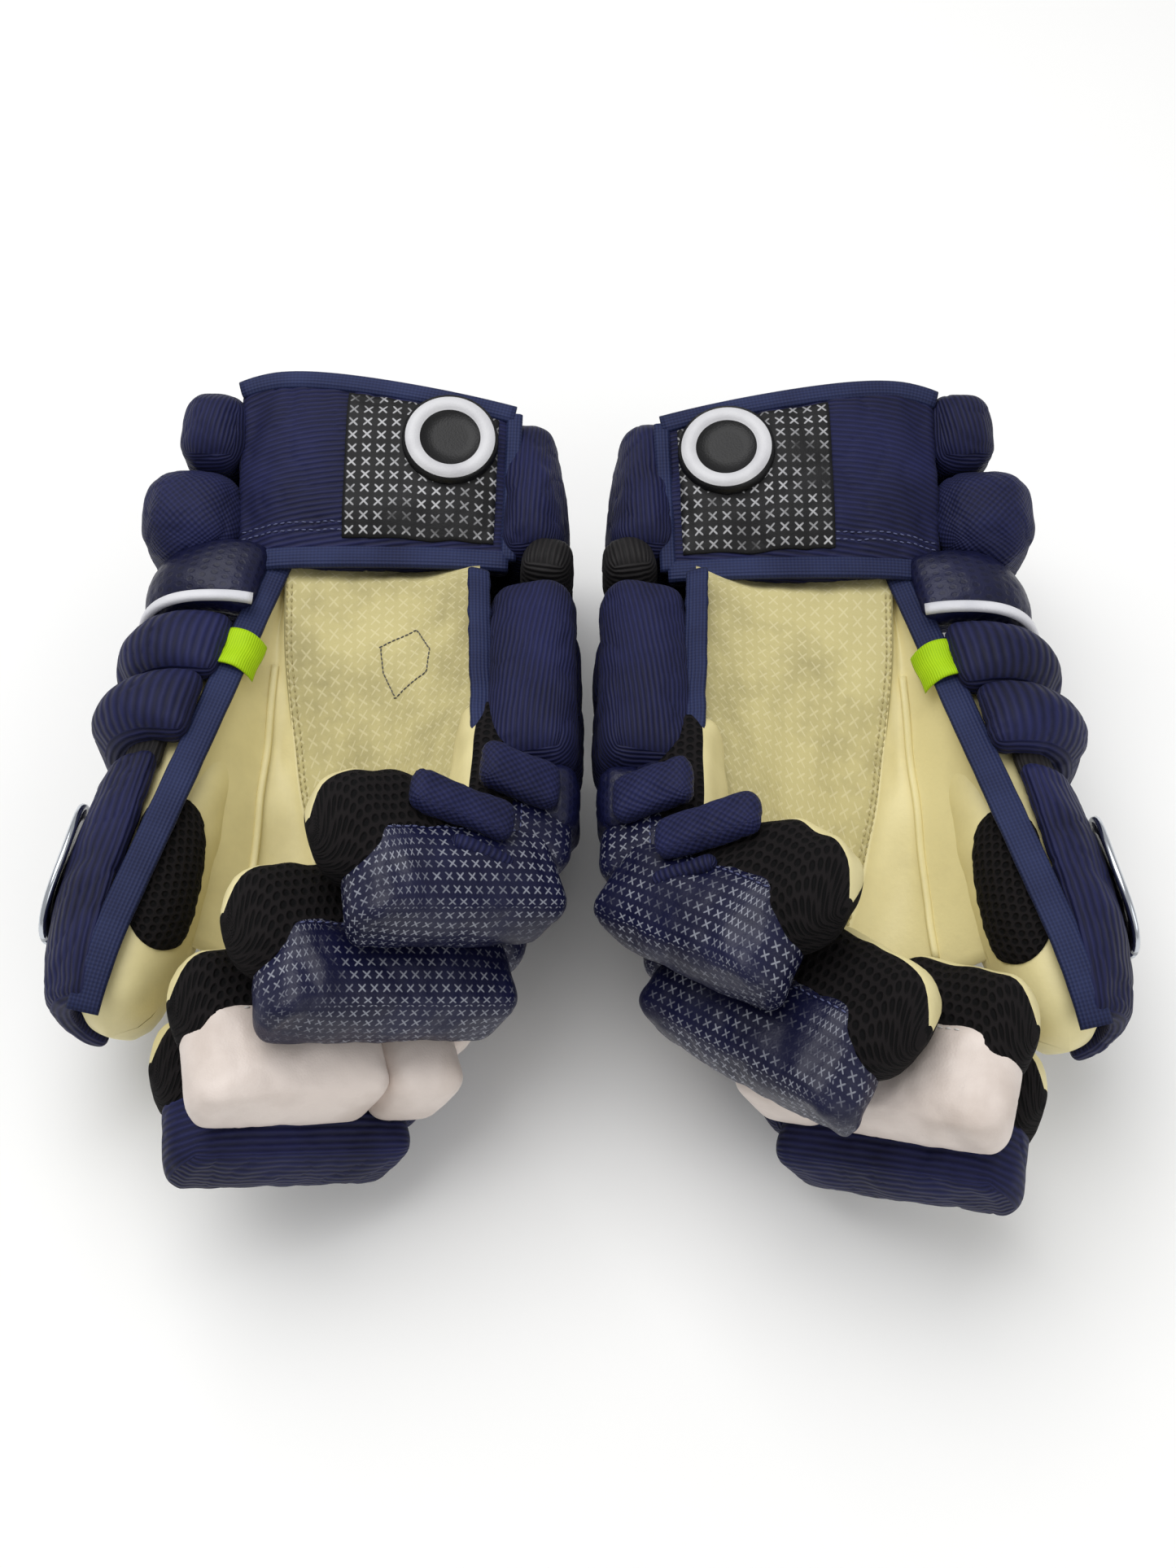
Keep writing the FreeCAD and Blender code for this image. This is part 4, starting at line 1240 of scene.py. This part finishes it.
patch_cloth = coated(
    "patch_woven_polyester", "#0B0B0D", "#18181A", 0.6, print_colour="#B9B9BC", pitch=5.3, stagger=0.0,
)
badge_black = coated("badge_black_polyurethane", "#0A0A0C", "#151517", 0.4)
badge_white = coated("badge_white_polyurethane", "#CFCFD2", "#B4B3B8", 0.35)
pieces = {piece.name: piece for piece in scene.objects if piece.type == "MESH"}


def surface_of(piece):
    """A search tree over a finished piece, for laying things on it."""
    shaped = piece.evaluated_get(bpy.context.evaluated_depsgraph_get()).data
    return BVHTree.FromPolygons(
        [v.co.copy() for v in shaped.vertices], [tuple(f.vertices) for f in shaped.polygons],
    )


def dropped(tree, side, p):
    """The point straight above or below p on a surface."""
    found = tree.ray_cast(Vector((p.x * SIGN[side] * MM, p.y * MM, 1.0)), Vector((0, 0, -1)))[0]
    return Vector((p.x, p.y, found.z / MM if found else p.z))


PATCH = (0.40, 0.945, 0.09, 0.92)
for side in SIGN:
    low, high = node_box(side, "cuff_panel")
    top = surface_of(pieces[f"{side}_cuff_panel_pad"])

    def on_panel(i, j):
        x = low.x + 1 + (high.x - low.x + 4) * i - 2.0 * i * (1 - j)
        y = low.y - 1 + (high.y - low.y + 1) * j - 17.0 * j * max(0.0, i - 0.12) ** 1.3
        return dropped(top, side, Vector((x, y, low.z + 13.0 + 24.0 * j)))

    def patch_point(i, j, lift):
        p = on_panel(PATCH[0] + (PATCH[1] - PATCH[0]) * i, PATCH[2] + (PATCH[3] - PATCH[2]) * j)
        return p + Vector((0, 0, 0.9 + lift))

    patch = add_piece(side, "cuff_woven_patch", slab(patch_point, 36, 36, 1.6), [patch_cloth])
    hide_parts(f"{side}_cuff_patch")
    finish_soft(side, patch, "cuff")

    middle = on_panel(0.775, 0.70)
    level = (on_panel(0.86, 0.70) - on_panel(0.69, 0.70)).normalized()
    slope = (on_panel(0.775, 0.86) - on_panel(0.775, 0.54)).normalized()
    slope = (slope - level * slope.dot(level)).normalized()
    up = level.cross(slope)
    rings = []
    profile = [
        (0.01, 2.6), (6.0, 2.6), (11.2, 2.6), (11.8, 3.5), (14.0, 3.7), (16.0, 3.4), (16.6, 2.6), (17.6, 2.2),
        (18.0, -1.0),
    ]
    for radius, height in profile:
        row = []
        for k in range(65):
            t = 2 * math.pi * k / 64
            flat = (radius * math.cos(t), radius * math.sin(t))
            row.append((middle + level * flat[0] + slope * flat[1] + up * height, flat))
        rings.append(row)
    badge = add_piece(
        side, "cuff_badge", [rings[:3], rings[2:7], rings[6:]], [badge_black, badge_white, badge_black],
        pick=lambda k: k,
    )
    finish_soft(side, badge, "cuff")

# ---- Stitches -----------------------------------------------------------------------------------
# Rows of waxed polyester thread follow the seams, and two run side by side on the cuff and on the palm.
# Each stitch is a short bead, set along a line on the finished cloth. A dark row marks a mend.

TIP_CROSS_INSET = 13.0  # from a fingertip's end to the row across it
TIP_CROSS_WIDTH = 22.0
TIP_ROW_INSET = 16.0  # from a fingertip's end to where its long rows stop
TIP_ROWS = [(12.0, 9), (15.0, 3), (-12.0, 9)]  # sideways and upwards from the segment's middle line
BASE_ROW_START = 18.0
BASE_ROW_INSET = 24.0
BASE_ROW = (15, -4)
CUFF_ROW_START = -127.0
CUFF_ROW_LENGTH = 91.0
CUFF_ROWS = (7.5, 10.0)  # from the panel's wrist edge
SEAM_ROWS = (SEAM + 0.03, SEAM + 0.07)  # as shares of the palm's half width
MEND_CORNERS = [
    (0.26, 0.12), (0.22, 0.42), (0.33, 0.5), (0.43, 0.44), (0.47, 0.15), (0.36, 0.1), (0.26, 0.12),
]


def spaced(start, span, count):
    """Evenly spaced numbers from start to start + span, with both ends."""
    return [start + span * k / count for k in range(count + 1)]


def thread(name, colour):
    """Waxed polyester thread, with a soft gloss."""
    return new_material(name, 0.45, Base_Color=linear(colour), Sheen_Weight=0.2)[0]


def stitch_group():
    """Geometry nodes that set beads of thread along the edges of a mesh."""
    tree = bpy.data.node_groups.new("stitch_row", "GeometryNodeTree")
    tree.interface.new_socket(name="Geometry", in_out="INPUT", socket_type="NodeSocketGeometry")
    for label in ("Spacing", "Stitch Length", "Thread Width"):
        tree.interface.new_socket(name=label, in_out="INPUT", socket_type="NodeSocketFloat")
    tree.interface.new_socket(name="Material", in_out="INPUT", socket_type="NodeSocketMaterial")
    tree.interface.new_socket(name="Geometry", in_out="OUTPUT", socket_type="NodeSocketGeometry")
    given = add_node(tree, "NodeGroupInput").outputs
    curve = add_node(tree, "GeometryNodeMeshToCurve", inputs={"Mesh": given["Geometry"]}).outputs[0]
    points = add_node(
        tree, "GeometryNodeResampleCurve", {"mode": "LENGTH"}, {"Curve": curve, "Length": given["Spacing"]}
    ).outputs[0]
    bead = add_node(
        tree, "GeometryNodeMeshUVSphere", inputs={"Segments": 8, "Rings": 5, "Radius": 0.5},
    ).outputs[0]
    size = add_node(
        tree, "ShaderNodeCombineXYZ",
        inputs={0: given["Stitch Length"], 1: given["Thread Width"], 2: given["Thread Width"]},
    ).outputs[0]
    tangent = add_node(tree, "GeometryNodeInputTangent").outputs[0]
    jitter = add_node(
        tree, "FunctionNodeRandomValue", {"data_type": "FLOAT_VECTOR"},
        {0: (-0.16, -0.16, -0.16), 1: (0.16, 0.16, 0.16), "Seed": 7},
    ).outputs[0]
    aim = add_node(tree, "ShaderNodeVectorMath", {"operation": "ADD"}, {0: tangent, 1: jitter}).outputs[0]
    turn = add_node(tree, "FunctionNodeAlignRotationToVector", {"axis": "X"}, {"Vector": aim}).outputs[0]
    beads = add_node(
        tree, "GeometryNodeInstanceOnPoints",
        inputs={"Points": points, "Instance": bead, "Rotation": turn, "Scale": size},
    ).outputs[0]
    real = add_node(tree, "GeometryNodeRealizeInstances", inputs={0: beads}).outputs[0]
    smooth = add_node(tree, "GeometryNodeSetShadeSmooth", inputs={0: real}).outputs[0]
    done = add_node(
        tree, "GeometryNodeSetMaterial", inputs={"Geometry": smooth, "Material": given["Material"]}
    ).outputs[0]
    add_node(tree, "NodeGroupOutput", inputs={"Geometry": done})
    return tree


STITCH_ROW = stitch_group()
THREADS = {
    "navy": thread("navy_thread", "#4A5078"),
    "white": thread("white_thread", "#D4D2CE"),
    "cream": thread("cream_thread", "#A89C68"),
    "dark": thread("dark_thread", "#3A3A44"),
}


def laid(side, piece_name, points, lift=0.25):
    """The nearest points of a piece to these points, a little above it, in metres."""
    tree = surface_of(pieces[f"{side}_{piece_name}"])
    found = []
    for p in points:
        place, normal, _, _ = tree.find_nearest(Vector(mirrored(side, p)))
        found.append(place + normal * lift * MM)
    return found


def stitch(side, name, body, colour, lines, spacing=2.6, length=1.9, width=0.6):
    """One piece of thread for all the stitch lines of this colour on a body."""
    verts, edges = [], []
    for line in lines:
        edges += [(len(verts) + k, len(verts) + k + 1) for k in range(len(line) - 1)]
        verts += line
    mesh = bpy.data.meshes.new(f"{side}_{name}")
    mesh.from_pydata(verts, edges, [])
    piece = bpy.data.objects.new(f"{side}_{name}", mesh)
    scene.collection.objects.link(piece)
    nodes = piece.modifiers.new("stitches", "NODES")
    nodes.node_group = STITCH_ROW
    given = {
        "Spacing": spacing * MM,
        "Stitch Length": length * MM,
        "Thread Width": width * MM,
        "Material": THREADS[colour],
    }
    for item in STITCH_ROW.interface.items_tree:
        if item.in_out == "INPUT" and item.name in given:
            nodes[item.identifier] = given[item.name]
    piece.update_tag()
    made = bpy.data.meshes.new_from_object(piece.evaluated_get(bpy.context.evaluated_depsgraph_get()))
    piece.modifiers.clear()
    piece.data = made
    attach(piece, f"{side}_{body}")


pieces = {piece.name: piece for piece in scene.objects if piece.type == "MESH"}
for side in SIGN:
    for index, (finger, length, reach) in enumerate(FINGERS):
        base = segment_frame(side, index, "base")
        tip = segment_frame(side, index, "tip")
        colour = {"middle": "white"}.get(finger, "navy")
        roll = f"{finger}_tip_roll"
        across = spaced(-TIP_CROSS_WIDTH / 2, TIP_CROSS_WIDTH, 14)
        lines = [laid(side, roll, [in_frame(tip, reach - TIP_CROSS_INSET, y, 9) for y in across])]
        for y, z in TIP_ROWS:
            along = spaced(0, reach - TIP_ROW_INSET, 30)
            lines.append(laid(side, roll, [in_frame(tip, x, y, z) for x in along]))
        stitch(side, f"{finger}_tip_stitches", f"{finger}_tip", colour, lines)
        along = spaced(BASE_ROW_START, length - BASE_ROW_INSET, 20)
        lines = [laid(side, f"{finger}_base_roll", [in_frame(base, x, *BASE_ROW) for x in along])]
        stitch(side, f"{finger}_base_stitches", f"{finger}_base", colour, lines)
    low, high = node_box(side, "cuff_panel")
    top = surface_of(pieces[f"{side}_cuff_panel_pad"])
    lines = []
    for back in CUFF_ROWS:
        along = spaced(CUFF_ROW_START, CUFF_ROW_LENGTH, 60)
        row = [dropped(top, side, Vector((x, low.y + back, 100))) for x in along]
        lines.append([Vector(mirrored(side, p + Vector((0, 0, 0.3)))) for p in row])
    stitch(side, "cuff_stitches", "cuff", "navy", lines)
    lines = [
        laid(side, "palm_suede", [palm_point(side, share, lateral, 3) for share in spaced(0.02, 0.9, 60)])
        for lateral in SEAM_ROWS
    ]
    stitch(side, "palm_seam_stitches", "hand", "cream", lines)
    if side == "right":
        mend = []
        for (s0, l0), (s1, l1) in zip(MEND_CORNERS, MEND_CORNERS[1:]):
            edge = list(zip(spaced(s0, s1 - s0, 8), spaced(l0, l1 - l0, 8)))
            mend += [palm_point(side, share, lateral, 3) for share, lateral in edge[:-1]]
        stitch(side, "palm_darn", "hand", "dark", [laid(side, "palm_suede", mend)], 1.7, 1.6, 0.5)
